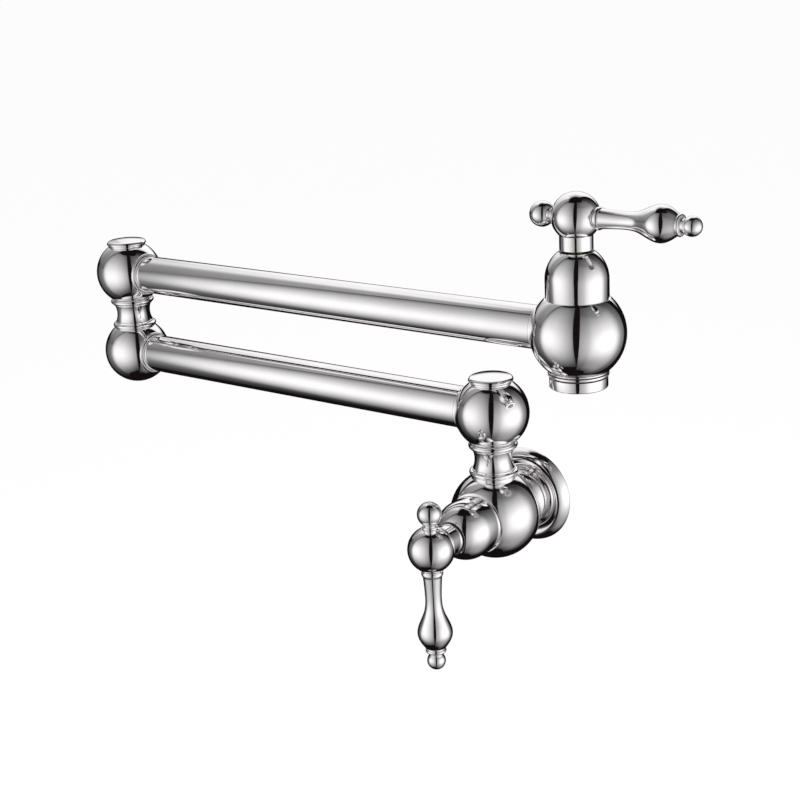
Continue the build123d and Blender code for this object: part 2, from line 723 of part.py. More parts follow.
def finial():
    """Ball finial with a bead at its foot, opposite the lever."""
    root = hub_flat
    bead_end = root + FINIAL_BEAD
    ball_meets = FINIAL - height_on_ball(FINIAL_R, FINIAL_NECK_R)
    turned_finial = turned(
        (0, root - SHANK),
        (SHANK_R, root - SHANK),
        (SHANK_R, root),
        (FINIAL_BEAD_R - EDGE, root),
        ((FINIAL_BEAD_R, root + FINIAL_BEAD / 2), (FINIAL_NECK_R, bead_end)),
        (FINIAL_NECK_R, ball_meets),
        ((FINIAL_R, FINIAL), (0, FINIAL + FINIAL_R)),
    )
    return Pos(0, 0, hub_height) * (ALONG_MINUS_X * turned_finial)


# ---------------------------------------------------------------- wall flange
def wall_flange():
    """Stepped round flange, hollow behind, with a groove for its gasket. Z is away from the wall."""
    bore_r = STUB_R + FLANGE_BORE_GAP
    groove_low = FLANGE_GROOVE_HEIGHT - FLANGE_QUIRK
    groove_in_r = FLANGE_GROOVE_R - FLANGE_QUIRK
    chord_r = FLANGE_GROOVE_R - FLANGE_R
    chord = FLANGE_GROOVE_HEIGHT - FLANGE_RIM
    bulge = FLANGE_BULGE / sqrt(chord_r**2 + chord**2)
    rim_mid = (
        FLANGE_R + chord_r / 2 + bulge * chord,
        FLANGE_RIM + chord / 2 - bulge * chord_r,
    )
    recess_r = GASKET_IN_R - SLIP - GASKET_LEDGE
    recess = FLANGE_FACE + FLANGE_RECESS
    return turned(
        (bore_r, recess),
        (recess_r - FLANGE_RECESS_BEVEL, recess),
        (recess_r, recess - FLANGE_RECESS_BEVEL),
        (recess_r, FLANGE_FACE),
        (GASKET_IN_R - SLIP, FLANGE_FACE),
        (GASKET_IN_R - SLIP, GASKET),
        (GASKET_OUT_R + SLIP, GASKET),
        (GASKET_OUT_R + SLIP, FLANGE_FACE),
        (FLANGE_R - EDGE, FLANGE_FACE),
        (FLANGE_R, FLANGE_FACE + EDGE),
        (FLANGE_R, FLANGE_RIM),
        (rim_mid, (FLANGE_GROOVE_R, FLANGE_GROOVE_HEIGHT)),
        (FLANGE_GROOVE_R, groove_low),
        (groove_in_r, groove_low),
        (groove_in_r, FLANGE_CREST),
        ((FLANGE_MID_R, FLANGE_MID), (FLANGE_INNER_R, FLANGE_SEAT)),
        (bore_r, FLANGE_SEAT),
    )


def wall_gasket():
    return tube(GASKET_OUT_R, GASKET_IN_R, 0, GASKET)


# ---------------------------------------------------------------- aerator
aerator_top = outlet_end + AERATOR_THREAD
aerator_bottom = outlet_end - AERATOR
aerator_bore_r = OUTLET_THREAD_R - AERATOR_WALL
insert_low = aerator_bottom + AERATOR_LIP


def aerator_housing():
    """Chromed ring screwed up into the outlet, with a lip that carries the insert."""
    return turned(
        (aerator_bore_r + SLIP, aerator_top),
        (aerator_bore_r + SLIP, insert_low),
        (aerator_bore_r - AERATOR_LIP, insert_low),
        (aerator_bore_r - AERATOR_LIP, aerator_bottom),
        (AERATOR_R - EDGE, aerator_bottom),
        (AERATOR_R, aerator_bottom + EDGE),
        (AERATOR_R, outlet_end - AERATOR_GROOVE),
        (AERATOR_GROOVE_R, outlet_end - AERATOR_GROOVE),
        (AERATOR_GROOVE_R, outlet_end),
        (OUTLET_THREAD_R, outlet_end),
        (OUTLET_THREAD_R, aerator_top),
    )


def aerator_insert():
    """Plastic insert with a honeycomb of straight channels."""
    pitch = HONEYCOMB_FLATS + HONEYCOMB_RIB
    cell = RegularPolygon(HONEYCOMB_FLATS / 2, 6, major_radius=False, rotation=30)
    limit = aerator_bore_r - AERATOR_LIP - HONEYCOMB_FLATS / 2
    rows = range(-(HONEYCOMB_ROWS // 2), HONEYCOMB_ROWS // 2 + 1)
    cells = []
    for row in rows:
        for column in rows:
            x = pitch * (column + row / 2)
            y = pitch * row * sqrt(3) / 2
            if sqrt(x**2 + y**2) < limit:
                cells.append(Pos(x, y) * cell)
    channels = extrude(Sketch() + cells, aerator_top - insert_low + 2 * CUT)
    body = rod(aerator_bore_r, insert_low, aerator_top)
    return body - Pos(0, 0, insert_low - CUT) * channels


def aerator_washer():
    high = aerator_top + AERATOR_WASHER
    return tube(OUTLET_THREAD_R - SLIP, AERATOR_WASHER_IN_R, aerator_top, high)


# ---------------------------------------------------------------- the whole tap
def valve_nodes(prefix, place, opening_turn, screw_side):
    """A cartridge, its bonnet and its handle, standing on one valve axis."""
    return {
        f"{prefix}_bonnet": place * bonnet(),
        f"{prefix}_cartridge_housing": place * cartridge_housing(opening_turn),
        f"{prefix}_seat_seal": place * seat_seal(),
        f"{prefix}_fixed_disc": place * disc(fixed_disc_low, closed=False),
        f"{prefix}_turning_disc": place * turning_disc(),
        f"{prefix}_spindle": place * spindle(),
        f"{prefix}_spindle_seal": place * spindle_seal(),
        f"{prefix}_handle_hub": place * handle_hub(screw_side),
        f"{prefix}_lever": place * lever(),
        f"{prefix}_finial": place * finial(),
        f"{prefix}_grub_screw": place * grub_screw(screw_side),
    }


def swivel_nodes(prefix, place):
    """A neck with its stem, seals and retainers, standing under a turning ball."""
    return {
        f"{prefix}_stem": place * swivel_neck_and_stem(),
        f"{prefix}_o_rings": [place * ring for ring in stem_o_rings()],
        f"{prefix}_thrust_washer": place * thrust_washer(),
        f"{prefix}_top_washer": place * top_washer(),
        f"{prefix}_retaining_ring": place * retaining_ring(),
        f"{prefix}_cap": place * ball_cap(),
    }


half_turn = Rot(0, 0, 180)
nodes = {
    "wall_flange": at_wall * wall_flange(),
    "wall_gasket": at_wall * wall_gasket(),
    "valve_body": at_valve * valve_body(),
    "inlet_washer": at_valve * inlet_washer(),
    "wall_swivel_ball": at_wall_swivel * half_turn * swivel_ball(),
    "lower_arm_tube": at_wall_swivel * half_turn * arm_tube(LOWER_ARM, SWIVEL_BALL_R),
    "elbow_base_ball": at_elbow_low * elbow_base_ball(),
    "elbow_swivel_ball": at_elbow_high * swivel_ball(),
    "upper_arm_tube": at_elbow_high * arm_tube(UPPER_ARM, BODY_BALL_R),
    "spout_body": at_spout * spout_body(),
    "aerator_housing": at_spout * aerator_housing(),
    "aerator_insert": at_spout * aerator_insert(),
    "aerator_washer": at_spout * aerator_washer(),
}
nodes |= valve_nodes("wall_valve", at_valve, opening_turn=1, screw_side=-1)
nodes |= valve_nodes("spout_valve", at_spout, opening_turn=-1, screw_side=1)
nodes |= swivel_nodes("wall_swivel", at_wall_swivel)
nodes |= swivel_nodes("elbow", at_elbow_high)

os.makedirs("parts", exist_ok=True)
for name, shape in nodes.items():
    pieces = shape if isinstance(shape, list) else [shape]
    solids = [solid for piece in pieces for solid in piece.solids()]
    export_step(Compound(solids) if len(solids) > 1 else solids[0], f"parts/{name}.step")
    print(name, len(solids))
print("swivel height", round(swivel_height, 2), "arm spacing", round(arm_spacing, 2))
print("hub height", round(hub_height, 2), "nodes", len(nodes))
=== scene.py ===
# %% [markdown]
# # A polished chrome pot filler, dressed and lit
# The object is a tap that folds out from the wall over a cooker: two arms, two swivels and two lever valves.
# The construction is already there as a fixed frame. This lesson turns it into something you would believe
# in a photograph: smooth turned shells, softened edges, the right finish on each part, and a photographer's
# studio round it, because polished metal has no look of its own. It only shows what it mirrors.

# %% Load the frame and note its size
import bpy
from math import atan2, cos, degrees, hypot, pi, radians, sin, sqrt
from mathutils import Matrix, Vector


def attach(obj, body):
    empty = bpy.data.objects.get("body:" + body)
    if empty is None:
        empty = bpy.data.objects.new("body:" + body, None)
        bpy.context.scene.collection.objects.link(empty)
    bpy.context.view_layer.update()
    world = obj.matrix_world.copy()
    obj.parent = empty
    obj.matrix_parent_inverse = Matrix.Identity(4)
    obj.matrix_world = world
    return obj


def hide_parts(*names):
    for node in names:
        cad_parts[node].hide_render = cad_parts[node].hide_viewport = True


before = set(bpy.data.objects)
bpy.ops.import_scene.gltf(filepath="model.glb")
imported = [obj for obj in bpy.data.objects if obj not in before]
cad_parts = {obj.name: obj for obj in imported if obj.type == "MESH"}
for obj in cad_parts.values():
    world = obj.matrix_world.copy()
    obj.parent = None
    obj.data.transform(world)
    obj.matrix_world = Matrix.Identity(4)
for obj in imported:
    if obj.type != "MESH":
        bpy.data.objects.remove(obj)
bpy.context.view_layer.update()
MM = 0.001

# %% [markdown]
# ## The camera
# The photograph looks down on the tap from its right-hand front, with a longish lens and a slight roll.
# A camera could be aimed with a Track To constraint, but a constraint can't hold the small roll, so its three
# axes are worked out from azimuth, elevation and roll, and written straight into its matrix.

# %% Camera at the photograph's angle
view_azimuth, view_elevation, view_roll = radians(38.295), radians(17.386), radians(-3.079)
camera_place, tap_middle = Vector((0.43505, -0.66002, 0.30326)), Vector((0, 0, 0.05))
focal_length, film_width = 69.82, 36.0
back = Vector((sin(view_azimuth) * cos(view_elevation), -cos(view_azimuth) * cos(view_elevation),
               sin(view_elevation)))
right = (-back).cross(Vector((0, 0, 1))).normalized()
up = right.cross(-back)
rolled_right = cos(view_roll) * right + sin(view_roll) * up
rolled_up = -sin(view_roll) * right + cos(view_roll) * up
camera_turn = Matrix((rolled_right, rolled_up, back)).transposed().to_4x4()
bpy.ops.object.camera_add(location=camera_place)
camera = bpy.context.active_object
camera.name = "photo_camera"
camera.matrix_world = Matrix.Translation(camera_place) @ camera_turn
camera.data.lens = focal_length
camera.data.sensor_width = film_width
camera.data.clip_end = 200.0
bpy.context.scene.camera = camera
print("camera stands", round((camera_place - tap_middle).length, 3), "m from the tap")

# %% [markdown]
# ## The studio: what the chrome mirrors
# A chrome ball shows the whole room. In the photograph it shows two tall soft lights, left and right, with a
# narrow dark gap between them, a white card behind the wall, a dimmer card at the far left, and darkness
# above and below. The lights could be area lamps, but a lamp has one even brightness. A curved sheet that
# glows most at one spot gives the soft falloff seen in the mirror images, so the sheets are extruded from a
# short plan line, like a curtain on a rail. Plan points, heights and stops are in metres.

# %% A helper that hangs a curtain of light
def start_point(name, place):
    """One lone vertex, made from a small plane whose corners are merged."""
    if bpy.context.mode != "OBJECT":
        bpy.ops.object.mode_set(mode="OBJECT")
    bpy.ops.object.select_all(action="DESELECT")
    bpy.ops.mesh.primitive_plane_add(size=0.01, location=place)
    piece = bpy.context.active_object
    piece.name = name
    bpy.ops.object.transform_apply(location=True, rotation=True, scale=True)
    bpy.ops.object.mode_set(mode="EDIT")
    bpy.ops.mesh.select_mode(type="VERT")
    bpy.ops.mesh.select_all(action="SELECT")
    bpy.ops.mesh.merge(type="CENTER")
    return piece


def draw_line(points):
    """Extrudes the lone vertex from point to point."""
    for here, there in zip(points, points[1:]):
        move = tuple(b - a for a, b in zip(here, there))
        bpy.ops.mesh.extrude_vertices_move(TRANSFORM_OT_translate={"value": move})


def hang_curtain(name, plan, low, high, lean=(0, 0)):
    """A sheet extruded from its plan line. It leans sideways by so many metres per metre of height."""
    rise = high - low
    points = [(x + low * lean[0], y + low * lean[1], low) for x, y in plan]
    sheet = start_point(name, points[0])
    draw_line(points)
    bpy.ops.mesh.select_all(action="SELECT")
    bpy.ops.mesh.extrude_region_move(TRANSFORM_OT_translate={"value": (lean[0] * rise, lean[1] * rise, rise)})
    bpy.ops.object.mode_set(mode="OBJECT")
    sheet.visible_camera = False
    return sheet


# %% The glow of a curtain
def falloff(tree, value, stops):
    """A smooth ramp through (place in metres, brightness) stops."""
    first, last = stops[0][0], stops[-1][0]
    scale = tree.nodes.new("ShaderNodeMapRange")
    tree.links.new(value, scale.inputs["Value"])
    scale.inputs["From Min"].default_value = first
    scale.inputs["From Max"].default_value = last
    ramp = tree.nodes.new("ShaderNodeValToRGB")
    ramp.color_ramp.interpolation = "B_SPLINE"
    tree.links.new(scale.outputs["Result"], ramp.inputs["Fac"])
    marks = ramp.color_ramp.elements
    while len(marks) < len(stops):
        marks.new(0.5)
    for mark, (place, level) in zip(marks, stops):
        mark.position = (place - first) / (last - first)
        mark.color = (level, level, level, 1)
    return ramp.outputs["Color"]


def glow(name, peak, axis, across, upward):
    """Emission: a peak brightness, a falloff along one ground axis and a falloff with height."""
    material = bpy.data.materials.new(name)
    material.use_nodes = True
    tree = material.node_tree
    tree.nodes.clear()
    place = tree.nodes.new("ShaderNodeTexCoord")
    split = tree.nodes.new("ShaderNodeSeparateXYZ")
    tree.links.new(place.outputs["Object"], split.inputs[0])
    both = tree.nodes.new("ShaderNodeMath")
    both.operation = "MULTIPLY"
    tree.links.new(falloff(tree, split.outputs[axis], across), both.inputs[0])
    tree.links.new(falloff(tree, split.outputs["Z"], upward), both.inputs[1])
    level = tree.nodes.new("ShaderNodeMath")
    level.operation = "MULTIPLY"
    level.inputs[1].default_value = peak
    tree.links.new(both.outputs[0], level.inputs[0])
    light = tree.nodes.new("ShaderNodeEmission")
    out = tree.nodes.new("ShaderNodeOutputMaterial")
    tree.links.new(level.outputs[0], light.inputs["Strength"])
    tree.links.new(light.outputs[0], out.inputs["Surface"])
    return material


left_light = hang_curtain("left_light", [(0.254, -0.588), (-0.10, -0.73), (-0.4765, -0.74), (-0.78, -0.63),
                                         (-1.0, -0.45), (-1.15, 0.0)], -1.7, 2.3, (-0.024, -0.01))
left_light.data.materials.append(glow(
    "left_glow", 1.14, "X",
    [(-1.18, 0.08), (-1.05, 0.12), (-0.95, 0.34), (-0.87, 0.74), (-0.75, 1.0), (-0.4, 1.0), (-0.2, 0.88),
     (0.0, 0.69), (0.2, 0.36), (0.28, 0.16)],
    [(-1.7, 0.05), (-1.2, 0.13), (-0.85, 0.244), (-0.6, 0.414), (-0.35, 0.674), (-0.12, 0.954), (0.1, 1.0),
     (0.35, 0.763), (0.7, 0.45), (1.1, 0.37), (2.3, 0.08)]))
right_light = hang_curtain("right_light", [(0.316, -0.424), (0.55, -0.36), (0.70, -0.25), (0.80, -0.05),
                                           (0.83, 0.12), (0.80, 0.30), (0.72, 0.45), (0.30, 0.85)],
                           -4.0, 2.6, (0.072, 0.02))
right_light.data.materials.append(glow(
    "right_glow", 1.47, "Y",
    [(-0.45, 0.125), (-0.3, 0.763), (-0.15, 0.824), (0.05, 1.0), (0.25, 0.95), (0.4, 0.908), (0.52, 0.673),
     (0.65, 0.22), (0.85, 0.11)],
    [(-4.0, 0.03), (-2.4, 0.10), (-1.5, 0.243), (-1.0, 0.25), (-0.6, 0.454), (-0.3, 0.83), (0.0, 1.0),
     (0.25, 0.637), (0.5, 0.455), (0.9, 0.15), (2.6, 0.05)]))
back_card = hang_curtain("back_card", [(-1.45, -0.05), (-1.35, 0.40), (-1.2, 0.75), (-0.75, 1.25),
                                       (-0.15, 1.45), (0.1, 1.45)], 0.22, 4.0)
back_card.data.materials.append(glow(
    "card_glow", 1.05, "X",
    [(-1.45, 0.25), (-1.32, 0.75), (-1.15, 1.0), (-0.5, 1.0), (-0.1, 1.0), (0.1, 0.6)],
    [(0.22, 0.0), (0.30, 0.25), (0.42, 0.95), (0.6, 1.0), (1.8, 1.0), (2.8, 0.5), (4.0, 0.1)]))
side_card = hang_curtain("side_card", [(-0.95, -0.45), (-1.12, -0.03), (-1.2, 0.3), (-1.1, 0.62)], 0.2, 2.8)
side_card.data.materials.append(glow(
    "side_card_glow", 1.0, "Y",
    [(-0.45, 0.33), (-0.3, 0.35), (-0.05, 0.38), (0.1, 0.6), (0.3, 0.97), (0.62, 1.0)],
    [(0.2, 0.30), (0.35, 0.5), (0.75, 0.85), (1.3, 1.0), (2.2, 1.0), (2.8, 0.6)]))
print("curtains of light:", [sheet.name for sheet in (left_light, right_light, back_card, side_card)])

# %% [markdown]
# ## Floor and air
# The photograph has no visible floor: the ground is burnt out to white. A plain pale floor far under the tap
# gives the same, as long as the chrome doesn't mirror it, because the underside of every ball is dark there.

# %% Pale floor and white air
bpy.ops.object.select_all(action="DESELECT")
bpy.ops.mesh.primitive_plane_add(size=120.0, location=(0, 0, -1.9))
floor = bpy.context.active_object
floor.name = "pale_floor"
floor.visible_glossy = False
floor_paint = bpy.data.materials.new("floor_paint")
floor_paint.use_nodes = True
paint = floor_paint.node_tree.nodes["Principled BSDF"]
paint.inputs["Base Color"].default_value = (0.9, 0.9, 0.9, 1)
paint.inputs["Roughness"].default_value = 0.9
paint.inputs["Emission Color"].default_value = (1, 1, 1, 1)
paint.inputs["Emission Strength"].default_value = 0.97
floor.data.materials.append(floor_paint)

world = bpy.data.worlds.new("studio_air")
bpy.context.scene.world = world
world.use_nodes = True
air = world.node_tree
air.nodes.clear()
seen = air.nodes.new("ShaderNodeLightPath")
dark_air = air.nodes.new("ShaderNodeBackground")
dark_air.inputs["Color"].default_value = (0.007, 0.005, 0.006, 1)
white_air = air.nodes.new("ShaderNodeBackground")
white_air.inputs["Color"].default_value = (1, 1, 1, 1)
choose = air.nodes.new("ShaderNodeMixShader")
air_out = air.nodes.new("ShaderNodeOutputWorld")
air.links.new(seen.outputs["Is Camera Ray"], choose.inputs["Fac"])
air.links.new(dark_air.outputs[0], choose.inputs[1])
air.links.new(white_air.outputs[0], choose.inputs[2])
air.links.new(choose.outputs[0], air_out.inputs["Surface"])
bpy.context.scene.view_settings.view_transform = "Standard"
print("floor at", floor.location.z, "m")

# %% [markdown]
# ## Polished chrome
# Chrome plate is a thin mirror over polished brass. It is not perfectly even: the buffing wheel leaves broad
# soft waves and faint lines, fingers leave slightly duller patches, and the edges are worn a touch softer.
# All of that is far too fine to model, so it goes into roughness and a very weak bump, both from noise.
# Grooves get a dull, dark chrome: its dark tint is painted shade in the bottom of each groove.

# %% A chrome for each way of working the metal
def mix_noise(tree, place, scale, detail, stretch=(1, 1, 1)):
    """A noise on Object coordinates, stretched along an axis where the wheel ran that way."""
    mapping = tree.nodes.new("ShaderNodeMapping")
    mapping.inputs["Scale"].default_value = stretch
    noise = tree.nodes.new("ShaderNodeTexNoise")
    noise.inputs["Scale"].default_value = scale
    noise.inputs["Detail"].default_value = detail
    tree.links.new(place.outputs["Object"], mapping.inputs["Vector"])
    tree.links.new(mapping.outputs["Vector"], noise.inputs["Vector"])
    return noise.outputs["Fac"]


def spread(tree, value, low, high, start=0.3, end=0.7):
    """Maps the middle of a noise to a range."""
    ramp = tree.nodes.new("ShaderNodeMapRange")
    tree.links.new(value, ramp.inputs["Value"])
    for socket, number in (("From Min", start), ("From Max", end), ("To Min", low), ("To Max", high)):
        ramp.inputs[socket].default_value = number
    return ramp.outputs["Result"]


def tint(tree, value, dark, light):
    """Colours the middle of a noise between two near tints."""
    ramp = tree.nodes.new("ShaderNodeValToRGB")
    ramp.color_ramp.elements[0].color = (*dark, 1)
    ramp.color_ramp.elements[1].color = (*light, 1)
    ramp.color_ramp.elements[0].position = 0.35
    ramp.color_ramp.elements[1].position = 0.65
    tree.links.new(value, ramp.inputs["Fac"])
    return ramp.outputs["Color"]


def finish(name, dark, light, metallic, rough, haze_scale, bump_scale, bump_depth, stretch=(1, 1, 1)):
    """A finish with its tint, its roughness and a weak bump from noise on Object coordinates."""
    material = bpy.data.materials.new(name)
    material.use_nodes = True
    tree = material.node_tree
    shader = tree.nodes["Principled BSDF"]
    place = tree.nodes.new("ShaderNodeTexCoord")
    haze = mix_noise(tree, place, haze_scale, 4.0)
    grain = mix_noise(tree, place, bump_scale, 3.0, stretch)
    tree.links.new(tint(tree, haze, dark, light), shader.inputs["Base Color"])
    tree.links.new(spread(tree, haze, *rough), shader.inputs["Roughness"])
    shader.inputs["Metallic"].default_value = metallic
    bump = tree.nodes.new("ShaderNodeBump")
    bump.inputs["Strength"].default_value = 1.0
    bump.inputs["Distance"].default_value = bump_depth
    tree.links.new(grain, bump.inputs["Height"])
    tree.links.new(bump.outputs["Normal"], shader.inputs["Normal"])
    return material


chrome_tint = (0.91, 0.892, 0.898), (0.96, 0.942, 0.948)
# The dark groove tint is painted shade for the bottoms of grooves and gaps.
groove_shade_tint = (0.10, 0.095, 0.095), (0.22, 0.21, 0.21)
cast_chrome = finish("cast_chrome", *chrome_tint, metallic=1.0, rough=(0.05, 0.08), haze_scale=45,
                     bump_scale=160, bump_depth=2e-7)
turned_chrome = finish("turned_chrome", *chrome_tint, metallic=1.0, rough=(0.045, 0.07), haze_scale=60,
                       bump_scale=260, bump_depth=1e-7)
tube_chrome = finish("tube_chrome", *chrome_tint, metallic=1.0, rough=(0.05, 0.08), haze_scale=40,
                     bump_scale=300, bump_depth=1e-7, stretch=(0.05, 1, 1))
groove_shade_chrome = finish("groove_shade_chrome", *groove_shade_tint, metallic=1.0, rough=(0.35, 0.5), haze_scale=90,
                       bump_scale=300, bump_depth=1e-6)
print("chromes:", cast_chrome.name, turned_chrome.name, tube_chrome.name, groove_shade_chrome.name)

# %% [markdown]
# ## The finishes inside
# Inside sit brass, spring steel, rubber, white bearing plastic and ceramic. They show only where the tap is
# open, at the inlet, at the aerator and in thin gaps, yet each has its own colour and grain.

# %% Brass, steel, rubber, plastics and ceramic
bare_brass = finish("bare_brass", (0.66, 0.45, 0.19), (0.80, 0.58, 0.28), metallic=1.0, rough=(0.18, 0.34),
                    haze_scale=90, bump_scale=500, bump_depth=2e-6)
spring_steel = finish("spring_steel", (0.50, 0.50, 0.51), (0.62, 0.62, 0.63), metallic=1.0,
                      rough=(0.22, 0.38), haze_scale=120, bump_scale=800, bump_depth=2e-6)
black_rubber = finish("black_rubber", (0.012, 0.012, 0.013), (0.03, 0.03, 0.031), metallic=0.0,
                      rough=(0.6, 0.8), haze_scale=150, bump_scale=900, bump_depth=1e-5)
bearing_plastic = finish("bearing_plastic", (0.70, 0.70, 0.67), (0.82, 0.82, 0.79), metallic=0.0,
                         rough=(0.35, 0.5), haze_scale=90, bump_scale=700, bump_depth=3e-6)
aerator_plastic = finish("aerator_plastic_white", (0.60, 0.61, 0.62), (0.75, 0.76, 0.77), metallic=0.0,
                         rough=(0.4, 0.55), haze_scale=90, bump_scale=700, bump_depth=4e-6)
ceramic = finish("white_ceramic", (0.80, 0.79, 0.75), (0.88, 0.87, 0.84), metallic=0.0, rough=(0.08, 0.18),
                 haze_scale=200, bump_scale=900, bump_depth=5e-7)
inner_finishes = (bare_brass, spring_steel, black_rubber, bearing_plastic, aerator_plastic, ceramic)
print("inner finishes:", [material.name for material in inner_finishes])

# %% [markdown]
# ## A lathe
# Nearly every part of this tap is turned on a lathe or is a casting of the same round form. So the tool used
# most is a lathe too: half the outline is drawn as a line of vertices and Spin carries it round the axis.
# A surface of revolution could also be made with the Screw modifier, but Spin leaves plain faces to work on.
# Sharp corners of the outline are softened first: a real edge is never sharp, and it catches a line of light.

# %% Drawing an outline with arcs
nearly_straight, on_axis = radians(155), 1e-6


def circle_through(a, b, c):
    """The middle of the circle through three points."""
    (ax, ay), (bx, by), (cx, cy) = a, b, c
    d = 2 * (ax * (by - cy) + bx * (cy - ay) + cx * (ay - by))
    x = ((ax**2 + ay**2) * (by - cy) + (bx**2 + by**2) * (cy - ay) + (cx**2 + cy**2) * (ay - by)) / d
    y = ((ax**2 + ay**2) * (cx - bx) + (bx**2 + by**2) * (ax - cx) + (cx**2 + cy**2) * (bx - ax)) / d
    return x, y


def arc_points(a, b, c, step=3.6):
    """Points from a through b to c on their circle, without a itself."""
    x, y = circle_through(a, b, c)
    first, middle, last = (atan2(p[1] - y, p[0] - x) for p in (a, b, c))
    half, whole = (middle - first) % (2 * pi), (last - first) % (2 * pi)
    if half > whole:
        whole -= 2 * pi
    count = max(4, round(abs(degrees(whole)) / step))
    radius = hypot(a[0] - x, a[1] - y)
    angles = [first + whole * i / count for i in range(1, count)]
    return [(x + radius * cos(t), y + radius * sin(t)) for t in angles] + [c]


def outline(start, *steps, soft=0.15):
    """A line of (radius, height) points in mm. A pair of points is an arc; corners are softened."""
    points = [start]
    for step in steps:
        if isinstance(step[0], tuple):
            points += arc_points(points[-1], *step)
        else:
            points.append(step)
    done = [points[0]]
    for before, here, after in zip(points, points[1:], points[2:]):
        u, v = Vector(before) - Vector(here), Vector(after) - Vector(here)
        if u.angle(v) > nearly_straight or here[0] < on_axis:
            done.append(here)
            continue
        cut = min(soft, 0.4 * u.length, 0.4 * v.length)
        p, q, corner = Vector(here) + cut * u.normalized(), Vector(here) + cut * v.normalized(), Vector(here)
        for t in (0, 0.33, 0.67, 1):
            done.append(tuple((1 - t)**2 * p + 2 * t * (1 - t) * corner + t**2 * q))
    return done + [points[-1]]


# %% Turning the outline
merge_gap, smooth_angle = 1e-6, radians(32)


def close_skin():
    """Merges the seam, points the faces outwards and smooths the shading up to real corners."""
    bpy.ops.mesh.select_all(action="SELECT")
    bpy.ops.mesh.remove_doubles(threshold=merge_gap)
    bpy.ops.mesh.normals_make_consistent(inside=False)
    bpy.ops.object.mode_set(mode="OBJECT")
    bpy.ops.object.shade_smooth_by_angle(angle=smooth_angle)


def turn_on_lathe(name, line, steps=128):
    """Spins an outline in mm about Z. A line that ends where it starts makes a hollow part."""
    points = [(radius * MM, 0, height * MM) for radius, height in line]
    piece = start_point(name, points[0])
    draw_line(points)
    bpy.ops.mesh.select_all(action="SELECT")
    bpy.ops.mesh.spin(steps=steps, angle=2 * pi, center=(0, 0, 0), axis=(0, 0, 1))
    close_skin()
    return piece


def make_active(piece):
    """Selects one piece alone, because an operator acts on all that is selected."""
    if bpy.context.mode != "OBJECT":
        bpy.ops.object.mode_set(mode="OBJECT")
    bpy.ops.object.select_all(action="DESELECT")
    piece.select_set(True)
    bpy.context.view_layer.objects.active = piece


# %% Placing, cutting, joining and copying
def set_down(piece, origin, x_way=(1, 0, 0), z_way=(0, 0, 1)):
    """Moves a part's own frame to a place in mm, then puts the place into its mesh."""
    x_axis, z_axis = Vector(x_way), Vector(z_way)
    turn = Matrix((x_axis, z_axis.cross(x_axis), z_axis)).transposed().to_4x4()
    make_active(piece)
    piece.matrix_world = Matrix.Translation(Vector(origin) * MM) @ turn
    bpy.ops.object.transform_apply(location=True, rotation=True, scale=True)
    return piece


def lay_along_x(piece, height=0.0, side=1):
    """Lays a part turned about Z along +X or -X, at a height in mm."""
    return set_down(piece, (0, 0, height), (0, 0, -side), (side, 0, 0))


def cut_away(piece, tool):
    """Cuts a tool out of a piece with an exact Boolean and throws the tool away."""
    make_active(piece)
    cut = piece.modifiers.new("cut", "BOOLEAN")
    cut.operation = "DIFFERENCE"
    cut.solver = "EXACT"
    cut.object = tool
    bpy.ops.object.modifier_apply(modifier=cut.name)
    bpy.data.objects.remove(tool)
    bpy.ops.object.shade_smooth_by_angle(angle=smooth_angle)
    return piece


def join(piece, *others):
    """Makes the others part of the first piece."""
    make_active(piece)
    for other in others:
        other.select_set(True)
    bpy.ops.object.join()
    return piece


def copy_of(piece, name):
    """A copy with its own mesh."""
    twin = piece.copy()
    twin.data = piece.data.copy()
    twin.name = name
    bpy.context.collection.objects.link(twin)
    return twin


def paint_groove_shade(piece, inner, outer, low, high):
    """Marks the faces inside a ring-shaped groove, in mm of the part's own frame, for the chrome of painted
    shade.
    """
    for face in piece.data.polygons:
        x, y, z = face.center / MM
        if inner < hypot(x, y) < outer and low < z < high:
            face.material_index = 1


def hand_over(piece, node, body, material):
    """The piece takes the node's place on its body, with its finish."""
    marks = [face.material_index for face in piece.data.polygons]
    piece.data.materials.clear()
    piece.data.materials.append(material)
    if any(marks):
        # Marked faces take the groove chrome, whose dark tint is painted shade.
        piece.data.materials.append(groove_shade_chrome)
        piece.data.polygons.foreach_set("material_index", marks)
    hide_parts(node)
    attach(piece, body)
    print(piece.name, "for", node, "on", body, "-", len(piece.data.polygons), "faces")


# %% [markdown]
# ## Main sizes
# The sizes are the ones the frame was built with, in millimetres. Heights that follow from them are worked
# out. A name that ends in _r is a radius. Parts that fit into each other keep the small gap called slip.

# %% Sizes of balls, necks and arms
swivel_r, body_r, tube_r, tube_wall = 19.5, 23.8, 11.0, 1.2
lower_arm, upper_arm, valve_to_wall = 263.5, 316.0, 33.2
seat_r, neck_height, thrust_washer, boss_rise = 12.0, 17.6, 0.5, 1.5
slip, waterway_r = 0.05, 5.0


def ball_height(ball, radius):
    """How far from a ball's middle a circle of this radius lies on it."""
    return sqrt(ball**2 - radius**2)


flat_height = ball_height(swivel_r, seat_r)
neck_top = -flat_height - thrust_washer
neck_bottom = neck_top - neck_height
boss_height = ball_height(body_r, seat_r) + boss_rise
swivel_height = boss_height - neck_bottom
upper_height = swivel_height + flat_height - neck_bottom
at_wall_swivel = (0, -valve_to_wall, swivel_height)
at_elbow_low = (-lower_arm, -valve_to_wall, swivel_height)
at_elbow_high = (-lower_arm, -valve_to_wall, upper_height)
at_spout = (upper_arm - lower_arm, -valve_to_wall, upper_height)
at_valve = (0, -valve_to_wall, 0)
valve_x, valve_z = (0, 0, -1), (0, -1, 0)
print("lower arm at", round(swivel_height, 2), "mm, upper arm at", round(upper_height, 2), "mm")

# %% [markdown]
# ## The arms
# Each arm is a plain drawn tube. A cylinder primitive would have closed ends; the real tube is open and has a
# wall, so its wall is turned as a closed ring outline, long and thin.

# %% Two tubes
socket_depth = 6.8


